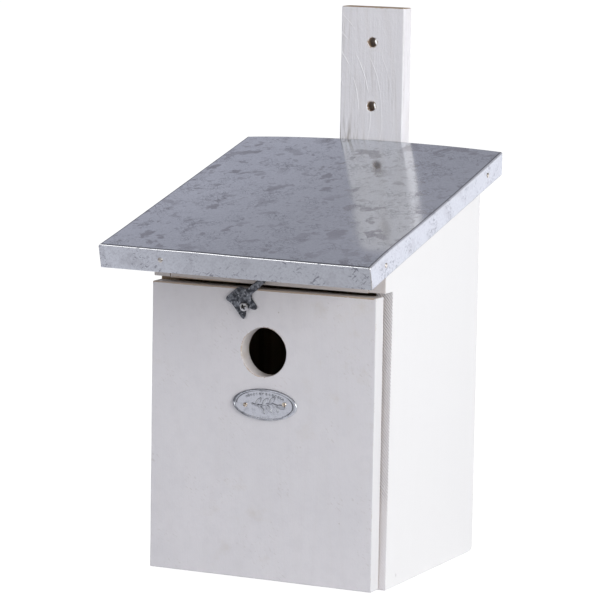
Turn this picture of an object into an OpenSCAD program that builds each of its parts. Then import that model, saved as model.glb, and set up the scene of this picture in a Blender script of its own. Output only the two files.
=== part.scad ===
// Garden nest box: white boards, a folded galvanised roof, a front door on two
// butt hinges, and a turning catch over the entrance hole.
// The origin is on the floor, at the middle of the box's footprint.
// +Z is up, -Y is the side with the door, +X is to the right of the door.

/* [Box] */
// Width of the box over its two side boards
box_w = 166.4; // [162.4:0.1:200]
// Depth of the box from the header's face to the back of the back board
box_d = 152; // [130:1:200]
// Thickness of the side, back, floor, header and roof boards
board_t = 12; // [10:0.5:15]
// Height of the header rail's face
header_h = 27.5; // [16:0.5:45]

/* [Door] */
// Height of the door
door_h = 190.8; // [160:0.2:230]
// Thickness of the door
door_t = 11.4; // [10:0.1:15]
// How far the door stands in front of the header's face
door_proud = 3.1; // [0:0.1:6]
// Distance from the box's left face to the door's left edge
door_left_gap = 0.6; // [0.5:0.1:4]
// Distance from the door's right edge to the box's right face
door_right_gap = 4.8; // [0.5:0.1:10]
// Height of the door's lower edge above the ground
door_lift = 0.4; // [0.3:0.1:3]
// Gap between the door's top edge and the header
header_gap = 3; // [2:0.1:6]
// Gap behind the door's right edge, at the bottom
door_gap_low = 0.5; // [0.4:0.1:3]
// Gap behind the door's right edge, under the header
door_gap_high = 3.2; // [1:0.1:5]

/* [Entrance] */
// Diameter of the entrance hole
hole_d = 32; // [26:1:45]
// Distance from the door's top edge to the entrance hole's middle
hole_drop = 40.9; // [38:0.1:60]
// How far the entrance hole's middle stands to the left of the box's middle
hole_left = 0.9; // [-10:0.1:10]

/* [Roof] */
// How far the roof reaches out past the left side board
roof_over_left = 9.3; // [5:0.1:40]
// How far the roof reaches out past the right side board
roof_over_right = 15.2; // [5:0.1:40]
// How far the roof reaches out in front of the header's face
roof_overhang = 59; // [30:1:90]
// Slope of the roof
roof_slope = 14.2; // [5:0.1:25]
// Thickness of the galvanised sheet
sheet_t = 0.6; // [0.4:0.1:1.5]
// Height of the folded edges
skirt_h = 15.3; // [14:0.1:18]

/* [Mounting batten] */
// Width of the batten
batten_w = 46.5; // [30:0.5:70]
// Thickness of the batten
batten_t = 12.4; // [10:0.1:20]
// How far the batten stands up over the roof's back edge
batten_rise = 93.2; // [80:0.1:180]
// How far the batten's middle stands to the right of the box's middle
batten_shift = 1.3; // [-5:0.1:5]
// Diameter of the two hanging holes
hang_d = 7; // [4:0.5:10]
// Distance of the upper hanging hole from the batten's top end
hang_drop = 24; // [15:0.5:30]
// Distance between the two hanging holes
hang_pitch = 43.5; // [20:0.5:46]

/* [Catch] */
// Distance from the door's top edge to the catch's screw
catch_drop = 12; // [10:0.1:16]
// How far the catch's screw stands to the left of the box's middle
catch_left = 14.4; // [10:0.1:40]
// Thickness of the catch's metal
catch_t = 1.3; // [0.8:0.1:2]
// Space between the catch and the door's face
catch_gap = 0.3; // [0.2:0.1:1]
// Diameter of the catch screw's shank
screw_d = 3; // [2.5:0.1:3.5]
// Diameter of the catch screw's head
screw_head_d = 5.7; // [5:0.1:8]

/* [Oval plate] */
// Length of the oval plate
plate_w = 46.2; // [30:0.2:60]
// Height of the oval plate
plate_h = 20.6; // [12:0.2:30]
// Thickness of the oval plate's field
plate_t = 0.8; // [0.5:0.1:2]
// Distance from the entrance hole's middle down to the plate's middle
plate_drop = 34; // [33:0.1:60]
// How far the plate's middle stands to the right of the box's middle
plate_shift = 0.7; // [-10:0.1:10]
// Distance between the plate's two tacks
tack_pitch = 28; // [18:0.5:34]
// Diameter of a tack's head
tack_head_d = 3; // [2:0.1:4]

/* [Hinges] */
// Height of each hinge
hinge_h = 25; // [20:1:40]
// Distance of each hinge from the door's nearer end
hinge_inset = 25; // [15:1:50]
// Width of a hinge leaf from the box's left face
leaf_w = 10; // [8:0.5:11]
// Thickness of a hinge leaf
leaf_t = 0.8; // [0.6:0.1:1.2]
// Gap between the two closed leaves
leaf_gap = 0.4; // [0.2:0.1:1]
// Diameter of the hinge knuckles
knuckle_d = 4; // [3.6:0.1:6]
// Diameter of the hinge pins
pin_d = 2; // [1.5:0.1:2.2]
// Running clearance round the pin in the door's leaf
pin_play = 0.05; // [0.03:0.01:0.1]
// Gap between neighbouring knuckles, along the pin
knuckle_gap = 0.3; // [0.2:0.1:1]
// Length of the hinge leaves' screws
leaf_screw_l = 9; // [6:0.5:10]

/* [Nails and screws] */
// Diameter of a nail's shank
nail_d = 1.6; // [1:0.1:2.5]
// Diameter of a roof nail's head
nail_head_d = 3.4; // [2.6:0.1:6]
// Height of a roof nail's head
nail_head_t = 0.6; // [0.4:0.1:1]
// Length of a roof nail's shank
roof_nail_l = 16; // [10:1:30]
// Depth of the roof nails under the roof's top surface
roof_nail_depth = 7; // [5:0.1:9]
// Distance of the front roof nail from the roof's left edge
front_nail_x = 44; // [20:1:90]
// Distance of the front side nails from the roof's front fold
side_nail_front = 26.5; // [20:0.5:60]
// Distance of the rear side nails from the roof's back edge
side_nail_rear = 25; // [15:0.5:60]
// Length of a floor nail
floor_nail_l = 30; // [20:1:40]
// Distance of the floor nails behind the side boards' front edge
floor_nail_y = 16.3; // [12:0.1:60]
// Length of the screws that hold the batten to the back board
batten_screw_l = 20; // [16:1:22]

/* [Hidden] */

$fn = 48;
// How far a cutter reaches past the face that it cuts
cut = 1;

// Colours
paint_white = [0.88, 0.88, 0.89];
zinc = [0.62, 0.65, 0.70];
steel = [0.55, 0.55, 0.56];
brass = [0.66, 0.57, 0.38];

// Planes of the box, from left to right and from front to back
left_x = -box_w / 2;
right_x = box_w / 2;
front_y = -box_d / 2;
back_y = box_d / 2;
inner_left_x = left_x + board_t;
inner_right_x = right_x - board_t;
inner_w = inner_right_x - inner_left_x;
inner_back_y = back_y - board_t;

// Door: its left edge, width, two faces and top, and the header over it
door_left_x = left_x + door_left_gap;
door_w = right_x - door_right_gap - door_left_x;
door_face_y = front_y - door_proud;
door_rear_y = door_face_y + door_t;
door_top_z = door_lift + door_h;
header_z = door_top_z + header_gap;

// Front edges of the side boards behind the door
hinge_gap = 2 * leaf_t + leaf_gap;
left_edge_y = door_rear_y + hinge_gap;
right_low_y = door_rear_y + door_gap_low;
right_high_y = door_rear_y + door_gap_high;

// Roof: the fold line at the front, and points given by the distance along the
// slope and the depth under the top surface
roof_under = sheet_t + board_t;
fold_y = front_y - roof_overhang;
fold_z = header_z + header_h + roof_under / cos(roof_slope)
    - roof_overhang * tan(roof_slope);
roof_left_x = left_x - roof_over_left;
roof_right_x = right_x + roof_over_right;
function roof_point(along, depth) =
    [fold_y + along * cos(roof_slope) + depth * sin(roof_slope),
     fold_z + along * sin(roof_slope) - depth * cos(roof_slope)];
function roof_end(depth) =
    (back_y - fold_y - depth * sin(roof_slope)) / cos(roof_slope);
function under_z(y) =
    fold_z + (y - fold_y) * tan(roof_slope) - roof_under / cos(roof_slope);

// Batten, its height, and its screws from the lowest to the highest
batten_left_x = batten_shift - batten_w / 2;
batten_top = roof_point(roof_end(0), 0)[1] + batten_rise;
batten_screw_edge = 2 * board_t;
batten_screw_zs = [batten_screw_edge, under_z(back_y) / 2,
                   under_z(back_y) - batten_screw_edge];
batten_screw_d = 3.5;
batten_head_d = 7;
batten_head_h = 2.4;

// Entrance
hole_x = -hole_left;
hole_z = door_top_z - hole_drop;

// Catch, from the door's face outwards
catch_x = -catch_left;
catch_z = door_top_z - catch_drop;
catch_back_y = door_face_y - catch_gap;
catch_front_y = catch_back_y - catch_t;
catch_play = 0.1;
screw_head_t = 1.8;
screw_grip = 8;
// The catch's outline, clockwise from its raised arm, with the screw at 0, 0
catch_outline = [
    [13.5, 21.6], [15.8, 22.3], [17.9, 20.6],
    [11.9, 14.7], [9.1, 12.0], [6.5, 10.1], [4.9, 8.3], [4.5, 6.7],
    [5.3, 4.8], [7.0, 2.8], [8.6, 0.6], [8.7, -0.6], [7.5, -1.5],
    [5.5, -1.3], [3.7, -0.6], [2.5, -1.0], [1.2, -2.2], [0.6, -3.7],
    [0.6, -5.4], [0.2, -7.2], [-0.8, -8.1], [-1.9, -7.5], [-3.4, -5.8],
    [-5.6, -3.1], [-7.7, -0.4], [-9.3, 1.3], [-11.1, 2.4], [-13.1, 3.3],
    [-13.7, 4.5], [-13.0, 6.0], [-7.3, 10.8], [-5.2, 12.5], [-4.0, 12.9],
    [-2.2, 12.7], [-0.6, 12.3], [1.1, 11.9], [2.9, 12.8], [5.6, 15.2]];

// Oval plate and its tacks, the right one a little higher than the left one
plate_x = plate_shift;
plate_z = hole_z - plate_drop;
plate_rim = 1.4;
plate_rim_t = 0.5;
plate_steps = 60;
tack_tilt = 1.2;
tack_shank_d = 1.4;
tack_head_t = 0.7;
tack_grip = 8;

// Hinges: the pin stands outside the box's left face
knuckle_r = knuckle_d / 2;
axis_x = left_x - knuckle_r - leaf_gap / 2;
axis_y = door_rear_y + hinge_gap / 2;
low_hinge_z = door_lift + hinge_inset;
high_hinge_z = door_top_z - hinge_inset - hinge_h;
knuckle_l = (hinge_h - 2 * knuckle_gap) / 3;
leaf_in_x = left_x - axis_x;
leaf_screw_x = leaf_in_x + leaf_w * 0.6;
leaf_screw_edge = hinge_h / 4;
leaf_screw_d = 2;
leaf_head_d = 3.6;

// Depth of the floor nails over the ground
floor_nail_z = 0.6 * board_t;

// ---------------------------------------------------------------- helpers

// A board whose outline lies in the YZ plane, between two planes of X
module board_x(x0, x1, outline) {
    translate([x0, 0, 0]) rotate([90, 0, 90])
        linear_extrude(x1 - x0) polygon(outline);
}

// Moves and turns what follows to a point on the roof, with +Z out of the sheet
module on_roof(x, along, depth) {
    p = roof_point(along, depth);
    translate([x, p[0], p[1]]) rotate([roof_slope, 0, 0]) children();
}

// Mirrors what follows when it belongs to the right side
module handed(right) { mirror([right ? 1 : 0, 0, 0]) children(); }

// A round bar along +Y, along -Y and along +X
module rod_y(d, l) { rotate([-90, 0, 0]) cylinder(d = d, h = l); }
module rod_front(d, l) { rotate([90, 0, 0]) cylinder(d = d, h = l); }
module rod_x(d, l) { rotate([0, 90, 0]) cylinder(d = d, h = l); }

// An oval, w long and h high
module oval(w, h) {
    polygon([for (i = [0 : plate_steps - 1])
        let (a = 360 * i / plate_steps) [w / 2 * cos(a), h / 2 * sin(a)]]);
}

// A countersunk screw that points down, with the top of its head at z = 0
module flush_screw(d, head_d, head_h, l) {
    translate([0, 0, -l]) cylinder(d = d, h = l);
    translate([0, 0, -head_h]) cylinder(d1 = d, d2 = head_d, h = head_h);
}

// ------------------------------------------------------------------ roof

// Places of the side nails: right or left, rear or front
module side_nail_place(right, rear) {
    along = rear ? roof_end(roof_nail_depth) - side_nail_rear : side_nail_front;
    on_roof(right ? roof_right_x : roof_left_x, along, roof_nail_depth)
        handed(right) children();
}

module front_nail_place() {
    on_roof(roof_left_x + front_nail_x, 0, roof_nail_depth)
        rotate([0, 0, 90]) children();
}

module roof_nail_bores() {
    for (right = [false, true]) for (rear = [false, true])
        side_nail_place(right, rear) rod_x(nail_d, roof_nail_l);
    front_nail_place() rod_x(nail_d, roof_nail_l);
}

// A roof nail that points along +X, with the underside of its head at x = 0
module roof_nail() {
    color(steel) {
        rod_x(nail_d, roof_nail_l);
        translate([-nail_head_t, 0, 0]) rod_x(nail_head_d, nail_head_t);
    }
}

module roof_board() {
    color(paint_white) difference() {
        board_x(roof_left_x + sheet_t, roof_right_x - sheet_t,
                [roof_point(sheet_t, sheet_t),
                 roof_point(roof_end(sheet_t), sheet_t),
                 roof_point(roof_end(roof_under), roof_under),
                 roof_point(sheet_t, roof_under)]);
        roof_nail_bores();
    }
}

// One sheet with its front and its two sides folded down, open at the back
module roof_sheet() {
    color(zinc) difference() {
        board_x(roof_left_x, roof_right_x,
                [roof_point(0, 0), roof_point(roof_end(0), 0),
                 roof_point(roof_end(skirt_h), skirt_h), roof_point(0, skirt_h)]);
        board_x(roof_left_x + sheet_t, roof_right_x - sheet_t,
                [roof_point(sheet_t, sheet_t),
                 roof_point(roof_end(sheet_t) + cut, sheet_t),
                 roof_point(roof_end(skirt_h) + cut, skirt_h + cut),
                 roof_point(sheet_t, skirt_h + cut)]);
        roof_nail_bores();
    }
}

// ---------------------------------------------------------------- boards

// A side board: notched behind the door, with a nose beside the header
module side_board(x0, low_y, high_y) {
    board_x(x0, x0 + board_t,
            [[low_y, 0], [back_y, 0], [back_y, under_z(back_y)],
             [front_y, under_z(front_y)], [front_y, header_z],
             [high_y, header_z]]);
}

module left_side() {
    color(paint_white) difference() {
        side_board(left_x, left_edge_y, left_edge_y);
        floor_nail_shape(false);
        leaf_screws(1, low_hinge_z);
        leaf_screws(1, high_hinge_z);
    }
}

module right_side() {
    color(paint_white) difference() {
        side_board(inner_right_x, right_low_y, right_high_y);
        floor_nail_shape(true);
    }
}

module header_rail() {
    rear_y = front_y + board_t;
    color(paint_white)
        board_x(inner_left_x, inner_right_x,
                [[front_y, header_z], [rear_y, header_z],
                 [rear_y, under_z(rear_y)], [front_y, under_z(front_y)]]);
}

module floor_board() {
    color(paint_white) difference() {
        translate([inner_left_x, left_edge_y, 0])
            cube([inner_w, inner_back_y - left_edge_y, board_t]);
        floor_nail_shape(false);
        floor_nail_shape(true);
    }
}

module back_board() {
    color(paint_white) difference() {
        board_x(inner_left_x, inner_right_x,
                [[inner_back_y, 0], [back_y, 0], [back_y, under_z(back_y)],
                 [inner_back_y, under_z(inner_back_y)]]);
        batten_screw_bores();
    }
}

module floor_nail_shape(right) {
    y = (right ? right_low_y : left_edge_y) + floor_nail_y;
    translate([right ? right_x : left_x, y, floor_nail_z])
        handed(right) rod_x(nail_d, floor_nail_l);
}

module floor_nail(right) { color(steel) floor_nail_shape(right); }

// ---------------------------------------------------------------- batten

// A screw from the batten's back face into the back board
module batten_screw_shape(z) {
    translate([batten_shift, back_y + batten_t, z]) rotate([-90, 0, 0])
        flush_screw(batten_screw_d, batten_head_d, batten_head_h,
                    batten_screw_l);
}

module batten_screw_bores() {
    for (z = batten_screw_zs) batten_screw_shape(z);
}

module batten_screw(i) { color(steel) batten_screw_shape(batten_screw_zs[i]); }

module mounting_batten() {
    color(paint_white) difference() {
        translate([batten_left_x, back_y, 0])
            cube([batten_w, batten_t, batten_top]);
        for (drop = [hang_drop, hang_drop + hang_pitch])
            translate([batten_shift, back_y - cut, batten_top - drop])
                rod_y(hang_d, batten_t + 2 * cut);
        batten_screw_bores();
    }
}

// ------------------------------------------------------------------ door

// Places of the plate's tacks: side is -1 for the left and 1 for the right
module tack_place(side) {
    translate([plate_x + side * tack_pitch / 2, door_face_y - plate_t,
               plate_z + side * tack_tilt]) children();
}

module door() {
    color(paint_white) difference() {
        translate([door_left_x, door_face_y, door_lift])
            cube([door_w, door_t, door_h]);
        translate([hole_x, door_face_y - cut, hole_z])
            rod_y(hole_d, door_t + 2 * cut);
        translate([catch_x, door_face_y, catch_z]) rod_y(screw_d, screw_grip);
        for (side = [-1, 1])
            tack_place(side) rod_y(tack_shank_d, plate_t + tack_grip);
        leaf_screws(-1, low_hinge_z);
        leaf_screws(-1, high_hinge_z);
    }
}

module oval_plate() {
    color(zinc) difference() {
        translate([plate_x, door_face_y, plate_z]) rotate([90, 0, 0]) {
            linear_extrude(plate_t) oval(plate_w, plate_h);
            linear_extrude(plate_t + plate_rim_t) difference() {
                oval(plate_w, plate_h);
                oval(plate_w - 2 * plate_rim, plate_h - 2 * plate_rim);
            }
        }
        for (side = [-1, 1])
            tack_place(side) translate([0, -cut, 0])
                rod_y(tack_shank_d, plate_t + 2 * cut);
    }
}

module plate_tack(side) {
    color(brass) tack_place(side) {
        rod_y(tack_shank_d, plate_t + tack_grip);
        rod_front(tack_head_d, tack_head_t);
    }
}

module catch_screw() {
    head_y = catch_front_y - catch_play;
    color(steel) translate([catch_x, head_y, catch_z]) {
        rod_front(screw_head_d, screw_head_t);
        rod_y(screw_d, door_face_y + screw_grip - head_y);
    }
}

module turn_catch() {
    color(zinc) translate([catch_x, catch_back_y, catch_z])
        rotate([90, 0, 0]) difference() {
            linear_extrude(catch_t) polygon(catch_outline);
            translate([0, 0, -cut])
                cylinder(d = screw_d + 2 * catch_play, h = catch_t + 2 * cut);
        }
}

// ---------------------------------------------------------------- hinges

// The two screws of a leaf: side is 1 on the box and -1 on the door
module leaf_screws(side, z) {
    for (dz = [leaf_screw_edge, hinge_h - leaf_screw_edge])
        translate([axis_x + leaf_screw_x, axis_y + side * leaf_gap / 2, z + dz])
            rotate([side * 90, 0, 0])
                flush_screw(leaf_screw_d, leaf_head_d, leaf_t, leaf_screw_l);
}

module leaf_screw_pair(side, z) { color(steel) leaf_screws(side, z); }

// A hinge leaf round its pin: side is 1 on the box and -1 on the door, and
// knuckles numbers its knuckles from the bottom one, which is 0
module leaf(side, z, knuckles, bore_d) {
    flat_y = side > 0 ? leaf_gap / 2 : -leaf_gap / 2 - leaf_t;
    color(steel) difference() {
        translate([axis_x, axis_y, z]) difference() {
            union() {
                translate([leaf_in_x, flat_y, 0])
                    cube([leaf_w, leaf_t, hinge_h]);
                for (k = knuckles)
                    translate([0, 0, k * (knuckle_l + knuckle_gap)]) {
                        cylinder(r = knuckle_r, h = knuckle_l);
                        translate([0, flat_y, 0])
                            cube([leaf_in_x, leaf_t, knuckle_l]);
                    }
            }
            translate([0, 0, -cut]) cylinder(d = bore_d, h = hinge_h + 2 * cut);
        }
        leaf_screws(side, z);
    }
}

module box_leaf(z) { leaf(1, z, [0, 2], pin_d); }

module door_leaf(z) { leaf(-1, z, [1], pin_d + 2 * pin_play); }

module hinge_pin(z) {
    color(steel) translate([axis_x, axis_y, z]) cylinder(d = pin_d, h = hinge_h);
}

// ----------------------------------------------------------------- nodes

floor_board();
back_board();
left_side();
right_side();
header_rail();
roof_board();
roof_sheet();
mounting_batten();
batten_screw(0);  // batten_screw_low
batten_screw(1);  // batten_screw_mid
batten_screw(2);  // batten_screw_high
front_nail_place() roof_nail();  // roof_nail_front
side_nail_place(true, false) roof_nail();  // roof_nail_right_front
side_nail_place(true, true) roof_nail();  // roof_nail_right_rear
side_nail_place(false, false) roof_nail();  // roof_nail_left_front
side_nail_place(false, true) roof_nail();  // roof_nail_left_rear
floor_nail(true);  // floor_nail_right
floor_nail(false);  // floor_nail_left
box_leaf(low_hinge_z);  // low_hinge_box_leaf
box_leaf(high_hinge_z);  // high_hinge_box_leaf
hinge_pin(low_hinge_z);  // low_hinge_pin
hinge_pin(high_hinge_z);  // high_hinge_pin
leaf_screw_pair(1, low_hinge_z);  // low_hinge_box_screws
leaf_screw_pair(1, high_hinge_z);  // high_hinge_box_screws
door();
door_leaf(low_hinge_z);  // low_hinge_door_leaf
door_leaf(high_hinge_z);  // high_hinge_door_leaf
leaf_screw_pair(-1, low_hinge_z);  // low_hinge_door_screws
leaf_screw_pair(-1, high_hinge_z);  // high_hinge_door_screws
oval_plate();
plate_tack(-1);  // plate_tack_left
plate_tack(1);  // plate_tack_right
catch_screw();
turn_catch();
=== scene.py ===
# %% [markdown]
# # A nest box with a galvanised roof
#
# The object is a small nest box of white painted boards. A folded sheet of galvanised steel covers
# its roof board, a door with a round entrance closes its front, and a turning catch of the same
# metal holds the door. A batten with two holes at its top carries the box on a wall or a tree.
# The construction is already packed as a fixed frame of named nodes. This lesson dresses that frame:
# every visible piece gets its worn edges, its folds and its finish, and nothing is moved.

# %% Load the frame
import math

import bmesh
import bpy
from mathutils import Matrix, Vector, noise


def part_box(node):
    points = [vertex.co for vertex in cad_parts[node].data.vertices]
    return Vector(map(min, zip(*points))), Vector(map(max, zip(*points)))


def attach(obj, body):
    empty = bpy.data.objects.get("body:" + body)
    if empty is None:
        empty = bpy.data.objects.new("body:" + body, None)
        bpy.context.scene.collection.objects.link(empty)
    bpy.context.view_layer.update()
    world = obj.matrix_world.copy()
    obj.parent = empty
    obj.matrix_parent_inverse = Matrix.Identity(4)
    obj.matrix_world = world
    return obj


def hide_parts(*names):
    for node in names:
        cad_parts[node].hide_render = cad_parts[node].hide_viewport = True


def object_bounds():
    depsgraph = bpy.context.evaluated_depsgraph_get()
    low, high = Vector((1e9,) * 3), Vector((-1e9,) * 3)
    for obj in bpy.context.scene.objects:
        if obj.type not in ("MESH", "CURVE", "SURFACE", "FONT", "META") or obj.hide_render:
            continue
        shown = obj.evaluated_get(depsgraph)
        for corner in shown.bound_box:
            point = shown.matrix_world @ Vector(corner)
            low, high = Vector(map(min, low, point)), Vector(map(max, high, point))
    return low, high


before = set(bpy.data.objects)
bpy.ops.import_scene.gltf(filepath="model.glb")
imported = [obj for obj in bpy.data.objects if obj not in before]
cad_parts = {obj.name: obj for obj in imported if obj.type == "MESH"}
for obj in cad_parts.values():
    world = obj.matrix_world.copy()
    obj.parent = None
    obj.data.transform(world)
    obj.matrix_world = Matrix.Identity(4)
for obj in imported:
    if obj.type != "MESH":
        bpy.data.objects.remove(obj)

CAD_BOX = [list(corner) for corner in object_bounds()]

# %% [markdown]
# ## Units and places
#
# Blender measures in metres, and a nest box is drawn in millimetres, so one factor turns the one
# into the other. The places of the boards are read from the frame, because a piece that asks the
# frame where it belongs still fits when the box changes.

# %% Units and places
MM = 0.001
ROOF_SLOPE = math.radians(14.2)

DOOR_LOW, DOOR_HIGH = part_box("door")
LEFT_LOW, LEFT_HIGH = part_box("left_side")
RIGHT_LOW, RIGHT_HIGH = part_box("right_side")
HEADER_LOW, HEADER_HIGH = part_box("header_rail")
BACK_LOW, BACK_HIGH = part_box("back_board")
FLOOR_LOW, FLOOR_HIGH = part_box("floor_board")
SHEET_LOW, SHEET_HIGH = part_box("roof_sheet")
ROOF_LOW, ROOF_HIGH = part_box("roof_board")
BATTEN_LOW, BATTEN_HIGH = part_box("mounting_batten")

HOLE_X = -0.9 * MM
HOLE_Z = DOOR_HIGH.z - 40.9 * MM
HOLE_WIDTH = 32 * MM
print("the door is", round((DOOR_HIGH.x - DOOR_LOW.x) / MM, 1), "mm wide")

# %% [markdown]
# ## The camera
#
# The box is seen from its right and from a little above. A long lens at more than two metres keeps
# the boards almost parallel. The camera is first turned to look down, then round the box, and a
# small roll comes before both of them.

# %% The camera
CAMERA_PLACE = Vector((973.6, -2059.6, 494.96)) * MM
CAMERA_AZIMUTH = math.radians(25.605)
CAMERA_DOWN = math.radians(7.998)
CAMERA_ROLL = math.radians(0.941)
CAMERA_LENS = 207.52

camera_data = bpy.data.cameras.new("camera")
camera_data.lens = CAMERA_LENS
camera_data.sensor_width = 36.0
camera_data.clip_end = 100.0
camera = bpy.data.objects.new("camera", camera_data)
bpy.context.scene.collection.objects.link(camera)
turn = Matrix.Rotation(CAMERA_AZIMUTH, 4, "Z")
tip = Matrix.Rotation(math.pi / 2 - CAMERA_DOWN, 4, "X")
roll = Matrix.Rotation(CAMERA_ROLL, 4, "Z")
camera.matrix_world = Matrix.Translation(CAMERA_PLACE) @ turn @ tip @ roll
bpy.context.scene.camera = camera
bpy.context.scene.view_settings.view_transform = "Standard"
print("the camera stands", round(CAMERA_PLACE.length, 2), "m from the box")

# %% [markdown]
# ## Nodes without a mouse
#
# A finish is a small graph of shader nodes. Written by hand it soon gets long, so one helper adds a
# node, sets its options and fills its inputs. An input is either a plain value or the output of
# another node, and the helper makes a link when it is given an output.

# %% A helper that adds a node
def add_node(tree, kind, inputs=None, **options):
    node = tree.nodes.new(kind)
    for option, value in options.items():
        setattr(node, option, value)
    for socket, value in (inputs or {}).items():
        if isinstance(value, bpy.types.NodeSocket):
            tree.links.new(value, node.inputs[socket])
        else:
            node.inputs[socket].default_value = value
    return node


def grey(level):
    return (level, level, level, 1.0)


# %% [markdown]
# ## The studio
#
# The box stands in a plain white studio. The world gives a soft light from all round, pale at the
# horizon, dimmer higher up and dimmest overhead, and that dim ceiling is what makes the sheet metal
# look like metal. What the camera sees behind the box is plain white. Two large soft lamps do the
# modelling: one to the right of the box and one above it, where the roof's front fold mirrors it.

# %% The world
HORIZON_COLOUR = (0.70, 0.70, 0.705, 1.0)
CEILING_COLOUR = (0.402, 0.405, 0.468, 1.0)
CEILING_RISE = (0.05, 0.42)
ZENITH_COLOUR = (0.32, 0.325, 0.345, 1.0)
ZENITH_RISE = (0.62, 0.76)

world = bpy.data.worlds.new("studio")
bpy.context.scene.world = world
world.use_nodes = True
tree = world.node_tree
tree.nodes.clear()
direction = add_node(tree, "ShaderNodeTexCoord").outputs["Generated"]
height = add_node(tree, "ShaderNodeSeparateXYZ", {0: direction}).outputs["Z"]
sky = HORIZON_COLOUR
for rise, colour in ((CEILING_RISE, CEILING_COLOUR), (ZENITH_RISE, ZENITH_COLOUR)):
    fade = add_node(tree, "ShaderNodeMapRange", {0: height, 1: rise[0], 2: rise[1]},
                    interpolation_type="SMOOTHSTEP").outputs[0]
    sky = add_node(tree, "ShaderNodeMix", {0: fade, 6: sky, 7: colour}, data_type="RGBA").outputs[2]
soft = add_node(tree, "ShaderNodeBackground", {"Color": sky, "Strength": 1.0}).outputs[0]
white = add_node(tree, "ShaderNodeBackground", {"Color": grey(1.0), "Strength": 1.0}).outputs[0]
seen = add_node(tree, "ShaderNodeLightPath").outputs["Is Camera Ray"]
studio = add_node(tree, "ShaderNodeMixShader", {0: seen, 1: soft, 2: white}).outputs[0]
add_node(tree, "ShaderNodeOutputWorld", {"Surface": studio})
print("the world runs from pale at the horizon to dim overhead")

# %% [markdown]
# The floor is one wide disc. To the light it is a real white floor, which throws light back up under
# the roof. To the camera it is nearly all white glow with a thin share of real floor over it, so that
# it runs into the white behind the box and still keeps the soft shadow at the box's foot. Metal
# mirrors a painted reflection there: a glow that mirrors alone see, brighter than white behind the
# box and dimmer on the near side.

# %% The floor
FLOOR_RADIUS = 30.0
FLOOR_ALBEDO = 0.78
FLOOR_GLOW = 0.985
FLOOR_SHARE = 0.16
# How brightly mirrors see the floor glow: a painted reflection.
MIRRORED_NEAR = 0.565
MIRRORED_FAR = 1.27
MIRRORED_FADE = (-0.5, 0.4)
MIRRORED_COLOUR = (0.99, 0.99, 1.085, 1.0)

floor_mesh = bpy.data.meshes.new("floor")
bm = bmesh.new()
bmesh.ops.create_circle(bm, cap_ends=True, segments=96, radius=FLOOR_RADIUS)
bm.to_mesh(floor_mesh)
bm.free()
floor = bpy.data.objects.new("floor", floor_mesh)
bpy.context.scene.collection.objects.link(floor)

floor_finish = bpy.data.materials.new("floor")
floor_finish.use_nodes = True
tree = floor_finish.node_tree
tree.nodes.clear()
path = add_node(tree, "ShaderNodeLightPath")
ground = add_node(tree, "ShaderNodeTexCoord").outputs["Object"]
depth = add_node(tree, "ShaderNodeSeparateXYZ", {0: ground}).outputs["Y"]
mirrored = add_node(tree, "ShaderNodeMapRange",
                    {0: depth, 1: MIRRORED_FADE[0], 2: MIRRORED_FADE[1],
                     3: MIRRORED_NEAR, 4: MIRRORED_FAR},
                    interpolation_type="SMOOTHSTEP").outputs[0]
real = add_node(tree, "ShaderNodeBsdfDiffuse", {"Color": grey(FLOOR_ALBEDO)}).outputs[0]
thin = add_node(tree, "ShaderNodeBsdfDiffuse", {"Color": grey(FLOOR_SHARE)}).outputs[0]
glow = add_node(tree, "ShaderNodeEmission", {"Color": grey(1.0), "Strength": FLOOR_GLOW}).outputs[0]
shown = add_node(tree, "ShaderNodeAddShader", {0: glow, 1: thin}).outputs[0]
# A painted reflection: a glow that only mirror rays see.
mirror = add_node(tree, "ShaderNodeEmission", {"Color": MIRRORED_COLOUR, "Strength": mirrored}).outputs[0]
lit = add_node(tree, "ShaderNodeMixShader",
               {0: path.outputs["Is Glossy Ray"], 1: real, 2: mirror}).outputs[0]
surface = add_node(tree, "ShaderNodeMixShader",
                   {0: path.outputs["Is Camera Ray"], 1: lit, 2: shown}).outputs[0]
add_node(tree, "ShaderNodeOutputMaterial", {"Surface": surface})
floor_mesh.materials.append(floor_finish)
print("the floor is a disc of", FLOOR_RADIUS, "m")

# %% The lamps
LAMP_AIM = Vector((0.0, 0.0, 0.15))


def soft_lamp(name, place, width, power):
    lamp = bpy.data.lights.new(name, "AREA")
    lamp.shape = "DISK"
    lamp.size = width
    lamp.energy = power
    holder = bpy.data.objects.new(name, lamp)
    bpy.context.scene.collection.objects.link(holder)
    holder.rotation_euler = (LAMP_AIM - Vector(place)).to_track_quat("-Z", "Y").to_euler()
    holder.location = place
    return holder


soft_lamp("right_lamp", (2.34, -0.95, 1.0), 1.6, 48.3)
soft_lamp("top_lamp", (-0.95, -0.9, 2.0), 0.7, 3.0)
print("two soft lamps light the box")

# %% [markdown]
# ## Patterns in real sizes
#
# All patterns are drawn in Object coordinates, which are metres here, so a noise of scale 100 has
# features of about a centimetre on every piece. A Mapping node stretches a pattern along the grain.
# The next helpers wrap the few pattern nodes that all the finishes share.

# %% Helpers for patterns
def new_finish(name):
    finish = bpy.data.materials.new(name)
    finish.use_nodes = True
    finish.node_tree.nodes.clear()
    return finish, finish.node_tree


def object_place(tree, stretch=(1.0, 1.0, 1.0), shift=(0.0, 0.0, 0.0), turn=(0.0, 0.0, 0.0)):
    place = add_node(tree, "ShaderNodeTexCoord").outputs["Object"]
    return add_node(tree, "ShaderNodeMapping",
                    {"Vector": place, "Location": shift, "Rotation": turn, "Scale": stretch}).outputs[0]


def cloud(tree, place, scale, detail=2.0, rough=0.5, swirl=0.0):
    return add_node(tree, "ShaderNodeTexNoise",
                    {"Vector": place, "Scale": scale, "Detail": detail, "Roughness": rough,
                     "Distortion": swirl}).outputs[0]


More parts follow.
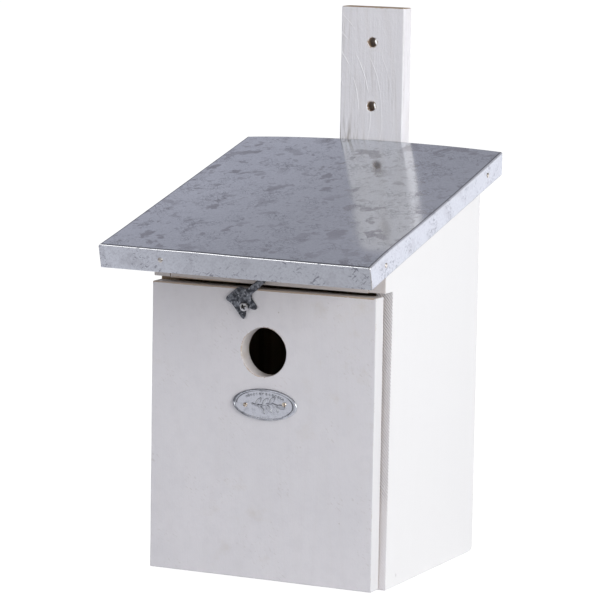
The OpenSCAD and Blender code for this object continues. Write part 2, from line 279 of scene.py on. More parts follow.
def ramp(tree, value, low, high, start=0.0, end=1.0):
    return add_node(tree, "ShaderNodeMapRange", {0: value, 1: low, 2: high, 3: start, 4: end},
                    interpolation_type="SMOOTHSTEP").outputs[0]


def maths(tree, operation, first, second=0.0, third=0.0):
    return add_node(tree, "ShaderNodeMath", {0: first, 1: second, 2: third},
                    operation=operation).outputs[0]


def tint(tree, factor, first, second):
    return add_node(tree, "ShaderNodeMix", {0: factor, 6: first, 7: second},
                    data_type="RGBA").outputs[2]


def bumped(tree, height, depth, normal=None):
    inputs = {"Height": height, "Distance": depth, "Strength": 1.0}
    if normal is not None:
        inputs["Normal"] = normal
    return add_node(tree, "ShaderNodeBump", inputs).outputs[0]


def close_finish(tree, colour, rough, normal, metal=0.0):
    shader = add_node(tree, "ShaderNodeBsdfPrincipled",
                      {"Base Color": colour, "Roughness": rough, "Metallic": metal,
                       "Normal": normal})
    add_node(tree, "ShaderNodeOutputMaterial", {"Surface": shader.outputs[0]})


print("helpers for patterns are ready")

# %% [markdown]
# ## Bare wood
#
# Where the paint has worn off, and inside the box, plain softwood shows. Two things make softwood
# readable: the growth rings, which run as long bent lines, and the fibres, which are much finer and
# straight. The rings are level lines of a slow noise, as on a map, and the fibres are a fast noise
# stretched forty times along the grain. Both are made once here, for any direction of the grain.

# %% Bare wood
WOOD_PALE = (0.60, 0.455, 0.305, 1.0)
WOOD_DARK = (0.41, 0.275, 0.160, 1.0)
# The darkest wood, for soil and for painted shade in the box and in holes.
WOOD_SOIL_AND_SHADE = (0.125, 0.082, 0.055, 1.0)
WOOD_RUBBED = (0.58, 0.49, 0.415, 1.0)
GRAIN_STRETCH = 0.07
FIBRE_STRETCH = 0.025


def along(axis, stretch):
    return tuple(stretch if name == axis else 1.0 for name in "XYZ")


def wood_pattern(tree, grain, seed):
    slow = cloud(tree, object_place(tree, along(grain, GRAIN_STRETCH), (seed, seed, seed)), 16.0, 1.0)
    rings = maths(tree, "PINGPONG", maths(tree, "MULTIPLY", slow, 38.0), 1.0)
    fine = object_place(tree, along(grain, FIBRE_STRETCH), (seed, 0.0, seed))
    fibres = cloud(tree, fine, 1100.0, 3.0, 0.6)
    return rings, fibres


def wood_colour(tree, rings, fibres):
    ringed = tint(tree, ramp(tree, rings, 0.45, 1.0), WOOD_PALE, WOOD_DARK)
    return tint(tree, ramp(tree, fibres, 0.35, 0.75, 0.0, 0.45), ringed, WOOD_DARK)


def bare_wood(name, grain, seed=0.0, soil_and_shade=0.0):
    """How far the wood is darkened: by handling, weather or a hot drill, and inside the box and in the drilled holes
    also as painted shade.
    """
    finish, tree = new_finish(name)
    rings, fibres = wood_pattern(tree, grain, seed)
    relief = maths(tree, "MULTIPLY_ADD", rings, 0.4, fibres)
    colour = tint(tree, soil_and_shade, wood_colour(tree, rings, fibres), WOOD_SOIL_AND_SHADE)
    close_finish(tree, colour, ramp(tree, fibres, 0.2, 0.8, 0.62, 0.8),
                 bumped(tree, relief, 0.12 * MM))
    return finish


# %% [markdown]
# ## Thin white paint
#
# The boards carry one thin coat of matt white. Up close it is never one flat colour: the grain
# shows through a little, faint brown clouds of resin have come up, a few nibs and pin marks catch
# the light, and along the edges the paint is rubbed down to the wood. The wear follows an attribute
# called "edge", which the boards carry on the points of their rounded edges: it is 1 there and 0
# a little further in, and a noise breaks it up so that no edge is rubbed evenly.

# %% Painted wood
PAINT = (0.815, 0.799, 0.815, 1.0)
PAINT_COOL = (0.77, 0.759, 0.777, 1.0)
PAINT_SHADE = (0.737, 0.722, 0.743, 1.0)
PAINT_THIN = (0.62, 0.57, 0.535, 1.0)
RESIN = (0.66, 0.61, 0.545, 1.0)
SIDE_TONE = (0.822, 0.824, 0.803, 1.0)
DOOR_SIDE_TONE = (0.722, 0.724, 0.718, 1.0)
NIB = (0.50, 0.46, 0.42, 1.0)


def rubbed_wood(tree, rings, fibres):
    """Wood that still has some paint in its pores."""
    return tint(tree, 0.7, wood_colour(tree, rings, fibres), WOOD_RUBBED)


def rubbed_edges(tree, wear, seed):
    edge = add_node(tree, "ShaderNodeAttribute", attribute_name="edge").outputs["Fac"]
    patchy = cloud(tree, object_place(tree, shift=(seed, seed, 0.0)), 38.0, 3.0, 0.6)
    torn = cloud(tree, object_place(tree, shift=(0.0, seed, 0.0)), 700.0, 3.0, 0.65)
    rubbed = maths(tree, "ADD", maths(tree, "MULTIPLY", patchy, 0.75), maths(tree, "MULTIPLY", torn, 0.45))
    reach = maths(tree, "MULTIPLY", edge, maths(tree, "ADD", rubbed, wear))
    return ramp(tree, reach, 0.86, 1.0)


def scuffs(tree, seed):
    """Short fine scratches that lie across the grain, and only in some places."""
    turned = object_place(tree, shift=(seed, 0.0, seed), turn=(0.5, 0.8, 0.0))
    place = add_node(tree, "ShaderNodeMapping", {"Vector": turned, "Scale": (1.0, 1.0, 0.07)}).outputs[0]
    gathered = cloud(tree, object_place(tree, shift=(seed, seed, 0.0)), 30.0, 2.0)
    return maths(tree, "MULTIPLY", ramp(tree, cloud(tree, place, 900.0, 1.0), 0.62, 0.74),
                 ramp(tree, gathered, 0.49, 0.62, 0.0, 0.26))


def paint_layer(tree, grain, seed, resin, thin, uneven=1.0):
    rings, fibres = wood_pattern(tree, grain, seed)
    here = object_place(tree, shift=(seed, seed, seed))
    broad = cloud(tree, here, 14.0, 3.0, 0.5)
    colour = tint(tree, ramp(tree, broad, 0.35, 0.68, 0.0, 0.8 * uneven), PAINT, PAINT_COOL)
    mottled = cloud(tree, here, 120.0, 5.0, 0.62)
    colour = tint(tree, ramp(tree, mottled, 0.42, 0.68, 0.0, 0.36 * uneven), colour, PAINT_SHADE)
    colour = tint(tree, ramp(tree, rings, 0.55, 1.0, 0.0, thin), colour, PAINT_THIN)
    clouds = cloud(tree, here, 52.0, 5.0, 0.62)
    spread = cloud(tree, here, 11.0, 1.0)
    brown = maths(tree, "MULTIPLY", ramp(tree, clouds, 0.52, 0.74), ramp(tree, spread, 0.45, 0.62, 0.0, resin))
    colour = tint(tree, brown, colour, RESIN)
    colour = tint(tree, maths(tree, "MULTIPLY", scuffs(tree, seed), uneven), colour, NIB)
    nibs = add_node(tree, "ShaderNodeTexVoronoi", {"Vector": here, "Scale": 95.0}).outputs["Distance"]
    chosen = cloud(tree, here, 70.0, 1.0)
    dots = maths(tree, "MULTIPLY", ramp(tree, nibs, 0.060, 0.03), ramp(tree, chosen, 0.56, 0.62, 0.0, 0.65))
    colour = tint(tree, dots, colour, NIB)
    skin = cloud(tree, object_place(tree, along(grain, 0.35), (0.0, 0.0, seed)), 900.0, 4.0, 0.6)
    relief = maths(tree, "MULTIPLY_ADD", fibres, 0.6, skin)
    relief = maths(tree, "SUBTRACT", relief, maths(tree, "MULTIPLY", dots, 1.5))
    return colour, relief, rings, fibres


def painted_wood(name, grain, seed, resin=0.25, thin=0.05, wear=0.0, cover=1.0, uneven=1.0,
                 tone=None):
    """cover is how much paint has stayed on, and on the rail and noses a low cover is also painted shade; tone is
    the tint of another tin.
    """
    finish, tree = new_finish(name)
    colour, relief, rings, fibres = paint_layer(tree, grain, seed, resin, thin, uneven)
    colour = tint(tree, cover, PAINT_THIN, colour)
    if tone:
        colour = tint(tree, 0.7, colour, tone)
    worn = rubbed_edges(tree, wear, seed)
    colour = tint(tree, worn, colour, rubbed_wood(tree, rings, fibres))
    relief = maths(tree, "SUBTRACT", relief, maths(tree, "MULTIPLY", worn, 1.2))
    close_finish(tree, colour, ramp(tree, relief, 0.3, 1.1, 0.50, 0.66), bumped(tree, relief, 0.13 * MM))
    return finish


DOOR_PAINT = painted_wood("door_paint", "Z", 0.31, resin=0.40, thin=0.035, wear=0.06)
DOOR_SIDE = painted_wood("door_side", "Z", 0.47, resin=0.30, thin=0.10, wear=0.06, uneven=0.3,
                          tone=DOOR_SIDE_TONE)
SIDE_PAINT = painted_wood("side_paint", "Z", 1.70, resin=0.05, thin=0.04, wear=0.03, uneven=0.25,
                           tone=SIDE_TONE)
# The header rail and the noses sit under the skirt: their low cover is partly thin paint, partly painted shade.
SHADED_RAIL_PAINT = painted_wood("shaded_rail_paint", "X", 2.90, resin=0.75, thin=0.40, wear=0.12, cover=0.15)
SHADED_NOSE_PAINT = painted_wood("shaded_nose_paint", "Z", 3.80, resin=0.50, thin=0.30, wear=0.12, cover=0.35)
THIN_PAINT = painted_wood("thin_paint", "X", 2.50, resin=0.85, thin=1.0, wear=0.10, cover=0.35)
# Inside the box and in the drilled holes the wood is darkened partly as painted shade.
INNER_WOOD = bare_wood("inner_wood", "Z", 0.60, soil_and_shade=0.55)
CROSS_WOOD = bare_wood("cross_wood", "X", 0.90, soil_and_shade=0.55)
DOOR_BACK = bare_wood("door_back", "Z", 1.30, soil_and_shade=0.12)
EDGE_WOOD = bare_wood("edge_wood", "X", 4.20, soil_and_shade=0.38)
DRILLED_WOOD = bare_wood("drilled_wood", "Z", 2.20, soil_and_shade=0.64)
print("paint and bare wood are mixed")

# %% [markdown]
# ## Saw marks
#
# Two surfaces keep the marks of the saw under their paint. The edge of a side board was ripped with
# a fine blade, which left slanting lines a little over a millimetre apart. The face of the batten
# met a large round blade, so its marks are arcs around a point beside the batten. Both patterns are
# a distance that is folded into repeating lines: a distance along a slant, or one from a centre.

# %% Sawn edge of the side boards
RIPPED_PALE = (0.74, 0.712, 0.712, 1.0)
RIPPED_DARK = (0.52, 0.485, 0.48, 1.0)
RIP_PITCH = 1.5 * MM
RIP_ANGLE = math.radians(-50)


def lines_at(tree, distance, pitch, width):
    """1 on thin lines that repeat every pitch, and 0 between them."""
    phase = maths(tree, "FRACT", maths(tree, "DIVIDE", distance, pitch))
    return ramp(tree, maths(tree, "PINGPONG", phase, 0.5), width, 0.0)


def sawn_edge(name):
    finish, tree = new_finish(name)
    colour, relief, rings, fibres = paint_layer(tree, "Z", 3.3, 0.2, 0.2)
    slant = object_place(tree, turn=(0.0, RIP_ANGLE, 0.0))
    waver = maths(tree, "MULTIPLY", cloud(tree, slant, 260.0, 2.0), 0.9 * MM)
    cut = maths(tree, "ADD", add_node(tree, "ShaderNodeSeparateXYZ", {0: slant}).outputs["Z"], waver)
    marks = lines_at(tree, cut, RIP_PITCH, 0.36)
    height = add_node(tree, "ShaderNodeSeparateXYZ", {0: object_place(tree)}).outputs["Z"]
    smooth_below = ramp(tree, height, 52 * MM, 66 * MM, 0.22, 1.0)
    marks = maths(tree, "MULTIPLY", marks, smooth_below)
    strip = tint(tree, cloud(tree, slant, 90.0, 2.0), RIPPED_PALE, colour)
    strip = tint(tree, maths(tree, "MULTIPLY", marks, 0.52), strip, RIPPED_DARK)
    worn = rubbed_edges(tree, 0.14, 3.3)
    strip = tint(tree, worn, strip, rubbed_wood(tree, rings, fibres))
    deep = maths(tree, "SUBTRACT", relief, maths(tree, "MULTIPLY", marks, 2.0))
    close_finish(tree, strip, 0.75, bumped(tree, deep, 0.16 * MM))
    return finish


SAWN_EDGE = sawn_edge("sawn_edge")

# %% Sawn face of the batten
BLADE_CENTRE = Vector((-84 * MM, BATTEN_LOW.y, 292 * MM))
BLADE_PITCH = 8.6 * MM
FINE_PITCH = 2.1 * MM
SCRAPE = (0.95, 0.945, 0.95, 1.0)
WEATHERED = (0.86, 0.85, 0.865, 1.0)
STREAK = (0.42, 0.39, 0.36, 1.0)


def batten_paint(name):
    finish, tree = new_finish(name)
    colour, relief, rings, fibres = paint_layer(tree, "Z", 5.1, 0.45, 0.25)
    colour = tint(tree, 0.5, colour, WEATHERED)
    upright = object_place(tree, along("Z", 0.05), (0.7, 0.0, 0.2))
    streaks = cloud(tree, upright, 420.0, 3.0, 0.6)
    colour = tint(tree, ramp(tree, streaks, 0.54, 0.74, 0.0, 0.30), colour, STREAK)
    here = object_place(tree)
    reach = add_node(tree, "ShaderNodeVectorMath", {0: here, 1: BLADE_CENTRE},
                     operation="DISTANCE").outputs["Value"]
    reach = maths(tree, "ADD", reach, maths(tree, "MULTIPLY", cloud(tree, here, 40.0, 2.0), 3.0 * MM))
    broken = ramp(tree, cloud(tree, here, 45.0, 3.0), 0.36, 0.50)
    near = ramp(tree, reach, 118 * MM, 76 * MM)
    arcs = maths(tree, "MULTIPLY", lines_at(tree, reach, BLADE_PITCH, 0.065), maths(tree, "MULTIPLY", broken, near))
    fine = maths(tree, "MULTIPLY", lines_at(tree, reach, FINE_PITCH, 0.30), ramp(tree, streaks, 0.4, 0.6, 0.1, 0.4))
    colour = tint(tree, maths(tree, "MULTIPLY", fine, 0.45), colour, WEATHERED)
    colour = tint(tree, arcs, colour, SCRAPE)
    sides = add_node(tree, "ShaderNodeSeparateXYZ", {0: here}).outputs
    low = maths(tree, "MULTIPLY", ramp(tree, sides["Z"], 296 * MM, 276 * MM),
                ramp(tree, sides["Z"], 250 * MM, 264 * MM))
    left = ramp(tree, sides["X"], -6 * MM, -14 * MM)
    nicks = maths(tree, "MULTIPLY", ramp(tree, streaks, 0.46, 0.56), maths(tree, "MULTIPLY", low, left))
    colour = tint(tree, maths(tree, "MULTIPLY", nicks, 0.8), colour, STREAK)
    worn = rubbed_edges(tree, 0.10, 5.1)
    colour = tint(tree, worn, colour, rubbed_wood(tree, rings, fibres))
    relief = maths(tree, "ADD", relief, maths(tree, "MULTIPLY", arcs, 0.8))
    relief = maths(tree, "SUBTRACT", relief, maths(tree, "MULTIPLY_ADD", streaks, 1.2, nicks))
    close_finish(tree, colour, 0.7, bumped(tree, relief, 0.16 * MM))
    return finish


BATTEN_PAINT = batten_paint("batten_paint")
print("the saw has left its marks")

# %% [markdown]
# ## Galvanised steel
#
# Hot zinc freezes on the sheet in patches. On this roof most of it is one smooth blue grey, with
# darker blots about a centimetre wide, clusters of short dark crinkles and straight frost marks. The
# metal is quite glossy and the blots a little less, so the same mask darkens the colour and raises
# the roughness. Along its folds and its open edges the sheet carries an attribute for thin dark
# lines: painted shade and a painted dark reflection. A slow bump bends what the sheet mirrors, as
# on any thin sheet.

# %% Galvanised steel
ZINC = (0.80, 0.83, 0.87, 1.0)
ZINC_PALE = (0.855, 0.885, 0.92, 1.0)
# The zinc colour towards the right, darker as painted shade.
ZINC_SHADED_RIGHT = (0.632, 0.655, 0.675, 1.0)
ZINC_BLOT = (0.455, 0.455, 0.48, 1.0)
ZINC_BROWN = (0.33, 0.315, 0.305, 1.0)
ZINC_CRINKLE = (0.235, 0.24, 0.27, 1.0)
# The colour of the thin dark lines of painted shade beside the folds and at the skirt's edge.
FOLD_SHADE = (0.05, 0.05, 0.055, 1.0)


def crinkles(tree, place, scale, thin):
    """Thin bent lines: the places where a noise crosses its middle."""
    turned = cloud(tree, place, scale, 4.0, 0.6, 0.5)
    distance = maths(tree, "ABSOLUTE", maths(tree, "SUBTRACT", turned, 0.5))
    return ramp(tree, distance, thin, 0.0)


def strokes(tree, turn, share):
    """Short straight frost marks, a few millimetres long, all in one direction."""
    place = add_node(tree, "ShaderNodeMapping",
                     {"Vector": object_place(tree, turn=turn), "Scale": (1.0, 1.0, 0.16)}).outputs[0]
    return ramp(tree, cloud(tree, place, 760.0, 2.0, 0.5), 0.58, 0.68, 0.0, share)


def blotted(tree, place, scale, edge, blur, share):
    """Ragged islands: 1 inside, and 0 outside, where a noise rises over its edge value."""
    return ramp(tree, cloud(tree, place, scale, 3.0, 0.55, 0.3), edge, edge + blur, 0.0, share)


def galvanised(name, rough, wave, large=1.0, small=0.65, browned=0.60, crinkled=0.80,
               frost=((1.35, 0.6, 0.0), (1.35, -0.8, 0.0)), frosted=0.45, seed=0.0):
    """frost holds the turns of the directions in which the straight marks run."""
    finish, tree = new_finish(name)
    place = object_place(tree, shift=(seed, seed, seed))
    broad = cloud(tree, place, 14.0, 2.0)
    colour = tint(tree, ramp(tree, broad, 0.35, 0.65), ZINC, ZINC_PALE)
    # Painted shade: the zinc is drawn darker towards the right, for the darker reflection there.
    parts = add_node(tree, "ShaderNodeSeparateXYZ", {0: object_place(tree)}).outputs
    to_right = maths(tree, "MULTIPLY_ADD", parts["Y"], -0.25, parts["X"])
    colour = tint(tree, ramp(tree, to_right, -85 * MM, 52 * MM, 0.0, 0.92), colour, ZINC_SHADED_RIGHT)
    kinds = ramp(tree, cloud(tree, place, 34.0, 1.0), 0.35, 0.62, 0.30, 1.0)
    blots = maths(tree, "MULTIPLY", blotted(tree, place, 66.0, 0.570, 0.055, large), kinds)
    nearby = object_place(tree, shift=(seed, 0.3, seed))
    blots = maths(tree, "MAXIMUM", blots, blotted(tree, nearby, 150.0, 0.600, 0.05, small))
    colour = tint(tree, blots, colour, ZINC_BLOT)
    brown = maths(tree, "MULTIPLY", blotted(tree, nearby, 260.0, 0.52, 0.12, 1.0),
                  blotted(tree, nearby, 26.0, 0.60, 0.08, browned))
    colour = tint(tree, brown, colour, ZINC_BROWN)
    gather = ramp(tree, cloud(tree, place, 55.0, 3.0, 0.6), 0.44, 0.62, 0.12, 1.0)
    lines = maths(tree, "MULTIPLY", crinkles(tree, place, 230.0, 0.030), crinkled)
    for turn in frost:
        lines = maths(tree, "MAXIMUM", lines, strokes(tree, turn, frosted))
    lines = maths(tree, "MULTIPLY", lines, gather)
    colour = tint(tree, lines, colour, ZINC_CRINKLE)
    # Thin dark lines beside the folds and at the open edge: painted shade and painted reflection.
    fold_shade = add_node(tree, "ShaderNodeAttribute", attribute_name="painted_shade").outputs["Fac"]
    fold_shade = ramp(tree, fold_shade, 0.3, 0.9, 0.0, 0.92)
    colour = tint(tree, fold_shade, colour, FOLD_SHADE)
    grain = cloud(tree, place, 700.0, 3.0, 0.6)
    colour = tint(tree, ramp(tree, grain, 0.38, 0.75, 0.0, 0.40), colour, ZINC_BLOT)
    gloss = maths(tree, "MULTIPLY_ADD", blots, 0.08, rough)
    gloss = maths(tree, "MULTIPLY_ADD", lines, 0.10, gloss)
    waves = maths(tree, "MULTIPLY_ADD", lines, -0.04, cloud(tree, place, 30.0, 1.0))
    close_finish(tree, colour, gloss, bumped(tree, waves, wave), metal=1.0)
    return finish


ROOF_ZINC = galvanised("roof_zinc", 0.13, 0.22 * MM)
SKIRT_ZINC = galvanised("skirt_zinc", 0.30, 0.08 * MM, large=0.30, small=0.20, browned=0.0, crinkled=0.25,
                        frost=((0.6, 1.0, 0.0), (-0.6, -0.8, 0.0)), frosted=0.90, seed=3.7)
print("the zinc has set in patches")

# %% [markdown]
# Where the sheet was cut, its zinc is bare and bright, and so are the small fittings. The folds get
# a bright zinc too, as a painted highlight. All of them are one clean metal colour with a soiled
# one over it, mixed by a noise of the right size, and the same dark colour paints shade where an
# attribute marks it.

# %% Bright metal
def small_metal(name, clean, dark_colour, share, rough, scale=600.0):
    """share is how much of the surface carries the dark colour as dirt; points that the attribute marks get it all
    over, as painted shade.
    """
    finish, tree = new_finish(name)
    place = object_place(tree)
    stain = cloud(tree, place, scale, 4.0, 0.6)
    painted_shade = add_node(tree, "ShaderNodeAttribute", attribute_name="painted_shade").outputs["Fac"]
    # Dirt from the noise, and painted shade wherever the attribute marks a point.
    soil_and_shade = maths(tree, "MAXIMUM", ramp(tree, stain, 0.62 - share * 0.4, 0.80 - share * 0.4), painted_shade)
    colour = tint(tree, soil_and_shade, clean, dark_colour)
    gloss = maths(tree, "MULTIPLY_ADD", soil_and_shade, 0.25, rough)
    close_finish(tree, colour, gloss, bumped(tree, stain, 0.05 * MM), metal=1.0)
    return finish


# The folds get a brighter zinc than the sheet: a painted highlight.
FOLD_HIGHLIGHT_ZINC = small_metal("fold_highlight_zinc", (0.96, 0.965, 0.98, 1.0), (0.50, 0.51, 0.55, 1.0), 0.20, 0.10, 260.0)
CUT_ZINC = small_metal("cut_zinc", (0.97, 0.97, 0.96, 1.0), (0.55, 0.55, 0.55, 1.0), 0.20, 0.45, 260.0)

# %% [markdown]
# ## Boards that were sawn, not drawn
#
# A perfect box with razor edges looks false, because every real board has an edge that has been
# sawn, sanded and knocked. One helper makes all the boards. It lays out the outline as a ring of
# points, lets the points waver a little, fills the ring, and leaves the drilled holes open. The
# filled face is extruded to the board's thickness, two cuts and an inset put a narrow margin
# beside every edge, and at last the sharp edges are rounded by a bevel. The points of the bevel
# get the attribute "edge", which the paint reads.

# %% The plank helper
EDGE_STEP = 9 * MM
MARGIN = 1.4 * MM
CORNER_MARGIN = 3.2 * MM
CORNER_ANGLE = math.radians(35)
HOLE_SEGMENTS = 64
TORN_EDGE = 1.32


def spaced(start, end):
    """Points from start towards end, the first and the last of them close to the corners."""
    way = end - start
    middle = max(1, round((way.length - 2 * CORNER_MARGIN) / EDGE_STEP))
    inner = (way.length - 2 * CORNER_MARGIN) / middle
    steps = [0.0] + [CORNER_MARGIN + inner * i for i in range(middle + 1)]
    return [start + way * (step / way.length) for step in steps]


def wavered(point, sway, seed):
    drift = noise.noise_vector(Vector((point.x, point.y, seed)) * 55.0)
    return point + Vector((drift.x, drift.y, 0.0)) * sway


def ring_of_points(bm, outline, sway, seed):
    corners = [Vector((x, y, 0.0)) for x, y in outline]
    low = Vector((min(c.x for c in corners), min(c.y for c in corners)))
    high = Vector((max(c.x for c in corners), max(c.y for c in corners)))
    ring = []
    for start, end in zip(corners, corners[1:] + corners[:1]):
        for point in spaced(start, end):
            moved = wavered(point, sway, seed)
            x = min(max(moved.x, low.x), high.x)
            y = min(max(moved.y, low.y), high.y)
            ring.append(bm.verts.new((x, y, 0.0)))
    for first, second in zip(ring, ring[1:] + ring[:1]):
        bm.edges.new((first, second))


def plank(name, outline, thickness, place, holes=(), ease=0.6 * MM, sway=0.15 * MM, torn=0.0, seed=1.0):
    bm = bmesh.new()
    ring_of_points(bm, outline, sway, seed)
    for x, y, width in holes:
        bmesh.ops.create_circle(bm, segments=HOLE_SEGMENTS, radius=width / 2,
                                matrix=Matrix.Translation((x, y, 0.0)))
    bmesh.ops.triangle_fill(bm, use_beauty=True, edges=bm.edges[:], normal=(0.0, 0.0, 1.0))
    raised = bmesh.ops.extrude_face_region(bm, geom=bm.faces[:])["geom"]
    lifted = [item for item in raised if isinstance(item, bmesh.types.BMVert)]
    bmesh.ops.translate(bm, verts=lifted, vec=(0.0, 0.0, thickness))
    bmesh.ops.recalc_face_normals(bm, faces=bm.faces[:])
    for level in (MARGIN, thickness - MARGIN):
        bmesh.ops.bisect_plane(bm, geom=bm.verts[:] + bm.edges[:] + bm.faces[:], dist=1e-7,
                               plane_co=(0.0, 0.0, level), plane_no=(0.0, 0.0, 1.0))
    flat = [face for face in bm.faces if abs(face.normal.z) > 0.9]
    bmesh.ops.inset_region(bm, faces=flat, thickness=MARGIN, use_boundary=True, use_even_offset=True)
    ease_edges(bm, [edge for edge in bm.edges if is_rim(edge) or is_corner(edge, outline)], ease)
    tear_rims(bm, holes, torn, seed)
    bm.transform(place)
    face_outwards(bm)
    return named_mesh(name, bm)


# %% Which edges are eased, and how
def is_rim(edge):
    """An edge between one of the board's two faces and its side."""
    steepness = sorted(abs(face.normal.z) for face in edge.link_faces)
    return len(steepness) == 2 and steepness[0] < 0.3 and steepness[1] > 0.9


def is_corner(edge, outline):
    """An edge that runs through the board at a corner of its outline."""
    if abs((edge.verts[0].co - edge.verts[1].co).normalized().z) < 0.9:
        return False
    middle = (edge.verts[0].co + edge.verts[1].co) / 2
    near = min((middle.xy - Vector(corner)).length for corner in outline)
    return near < CORNER_MARGIN / 2 and edge.calc_face_angle(0.0) > CORNER_ANGLE


def ease_edges(bm, edges, ease, segments=3):
    """Rounds the edges and marks their points with the attribute that the paint reads."""
    rounded = bmesh.ops.bevel(bm, geom=edges, offset=ease, offset_type="OFFSET", segments=segments,
                              profile=0.5, affect="EDGES", material=-1, clamp_overlap=False)["faces"]
    layer = bm.verts.layers.float.get("edge") or bm.verts.layers.float.new("edge")
    for face in rounded:
        face.smooth = True
        for vert in face.verts:
            vert[layer] = 1.0


def tear_rims(bm, holes, torn, seed):
    """A drill tears the fibres, so the rounded rim of a hole is moved in and out a little."""
    layer = bm.verts.layers.float["edge"]
    for x, y, width in holes:
        centre = Vector((x, y))
        for vert in bm.verts:
            way = vert.co.xy - centre
            if torn and vert[layer] > 0.5 and way.length < width / 2 + 2 * MARGIN:
                push = torn * noise.noise(Vector((vert.co.x, vert.co.y, seed)) * 700.0)
                vert.co += Vector((*(way.normalized() * push), 0.0))
                vert[layer] = TORN_EDGE


def face_outwards(bm):
    """Makes the normals agree, and turns them all if the closed piece came out inside out."""
    bmesh.ops.recalc_face_normals(bm, faces=bm.faces[:])
    if bm.calc_volume(signed=True) < 0:
        bmesh.ops.reverse_faces(bm, faces=bm.faces[:])


def named_mesh(name, bm):
    mesh = bpy.data.meshes.new(name)
    bm.to_mesh(mesh)
    bm.free()
    piece = bpy.data.objects.new(name, mesh)
    bpy.context.scene.collection.objects.link(piece)
    return piece


# %% [markdown]
# Each board is drawn flat, in its own x and y, and stands up when its place is applied. Boards whose
# outline is seen from the side, such as the two side boards with their notch, run from left to right
# as they get thick. The door and the batten are outlined from the front and get thick to the back.

# %% Places for the boards
def from_side(x):
    """Drawn x becomes Y, drawn y becomes Z, and the thickness runs to +X from this x."""
    return Matrix(((0, 0, 1, x), (1, 0, 0, 0), (0, 1, 0, 0), (0, 0, 0, 1)))


def from_front(y):
    """Drawn x stays X, drawn y becomes Z, and the thickness runs to -Y from this y."""
    return Matrix(((1, 0, 0, 0), (0, 0, -1, y), (0, 1, 0, 0), (0, 0, 0, 1)))


def rectangle(x0, y0, x1, y1):
    return [(x0, y0), (x1, y0), (x1, y1), (x0, y1)]


def finish_faces(piece, finishes, choose):
    """Gives each face the finish whose number choose() returns for its middle and its normal."""
    for finish in finishes:
        piece.data.materials.append(finish)
    for face in piece.data.polygons:
        face.material_index = choose(face.center, face.normal)


def rub(piece, level, inside):
    """Rubs some rounded edges more than the rest: those whose points lie inside a region."""
    for point, wear in zip(piece.data.vertices, piece.data.attributes["edge"].data):
        if wear.value > 0.5 and inside(point.co):
            wear.value = level


def settle(piece, body, slot, *nodes):
    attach(piece, body)
    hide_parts(*nodes)
    print(piece.name, "has", len(piece.data.polygons), "faces and rides on", body)


# %% [markdown]
# ## The box
#
# The two side boards are cut from one outline: a slanting top, a nose beside the header rail and a
# notch behind the door. The right one's front edge was painted over its saw marks, the left one's is
# hidden by the hinges and stayed bare, like the faces that look into the box. The floor nail sits in a small hole low on each side.

# %% The side boards
BOARD = FLOOR_HIGH.z
NAIL_HOLE = 1.8 * MM
NAIL_BACK = 16.3 * MM
NAIL_UP = 0.6 * BOARD
FACING = 0.7
NOTCH_Z = HEADER_LOW.z
NOSE_Z = HEADER_HIGH.z - (HEADER_HIGH.y - HEADER_LOW.y) * math.tan(ROOF_SLOPE)
RIGHT_EDGE_LOW = -67.2 * MM
RIGHT_EDGE_HIGH = -64.5 * MM
LEFT_EDGE = -65.7 * MM


def side_outline(low, high, edge_low, edge_high):
    return [(edge_low, low.z), (high.y, low.z), (high.y, high.z),
            (low.y, NOSE_Z), (low.y, NOTCH_Z), (edge_high, NOTCH_Z)]


def side_board(name, node, low, high, edge_low, edge_high, inward, front_finish, seed):
    hole = (edge_low + NAIL_BACK, NAIL_UP, NAIL_HOLE)
    board = plank(name, side_outline(low, high, edge_low, edge_high), high.x - low.x,
                  from_side(low.x), holes=[hole], seed=seed)

    def choose(middle, normal):
        if normal.x * inward > FACING:
            return 1
        if normal.y > -FACING:
            return 0
        return 2 if middle.z < NOTCH_Z else 3
    finish_faces(board, [SIDE_PAINT, INNER_WOOD, front_finish, SHADED_NOSE_PAINT], choose)
    settle(board, "box", "white_painted_wood", node)


side_board("left_board", "left_side", LEFT_LOW, LEFT_HIGH, LEFT_EDGE, LEFT_EDGE, 1, INNER_WOOD, 2.0)
side_board("right_board", "right_side", RIGHT_LOW, RIGHT_HIGH, RIGHT_EDGE_LOW, RIGHT_EDGE_HIGH, -1,
           SAWN_EDGE, 3.0)



def knock(piece, corner_y, corner_z, radius):
    """Rounds a corner that was knocked: points past an arc round it are pulled back to the arc."""
    inward_y = math.copysign(radius, -corner_y)
    inward_z = radius
    for point in piece.data.vertices:
        way = Vector((point.co.y - corner_y - inward_y, point.co.z - corner_z - inward_z))
        if way.x * inward_y < 0 and way.y * inward_z < 0 and way.length > radius:
            pulled = way.normalized() * (radius + 0.12 * (way.length - radius))
            point.co.y = corner_y + inward_y + pulled.x
            point.co.z = corner_z + inward_z + pulled.y


knock(bpy.data.objects["right_board"], RIGHT_HIGH.y, RIGHT_LOW.z, 5 * MM)

# %% The header, the back and the floor
def inner_board(name, node, low, high, outline, painted, finish, inside, seed):
    board = plank(name, outline, high.x - low.x, from_side(low.x), sway=0.0, seed=seed)

    def choose(middle, normal):
        return 0 if normal.dot(painted) > FACING else 1
    finish_faces(board, [finish, inside], choose)
    rub(board, 1.7, lambda point: point.z < low.z + MARGIN and finish is SHADED_RAIL_PAINT)
    rub(board, 0.3, lambda point: not low.x + MARGIN < point.x < high.x - MARGIN)
    settle(board, "box", "white_painted_wood", node)


def sloped(low, high, rise):
    return [(low.y, low.z), (high.y, low.z), (high.y, high.z), (low.y, high.z - rise)]


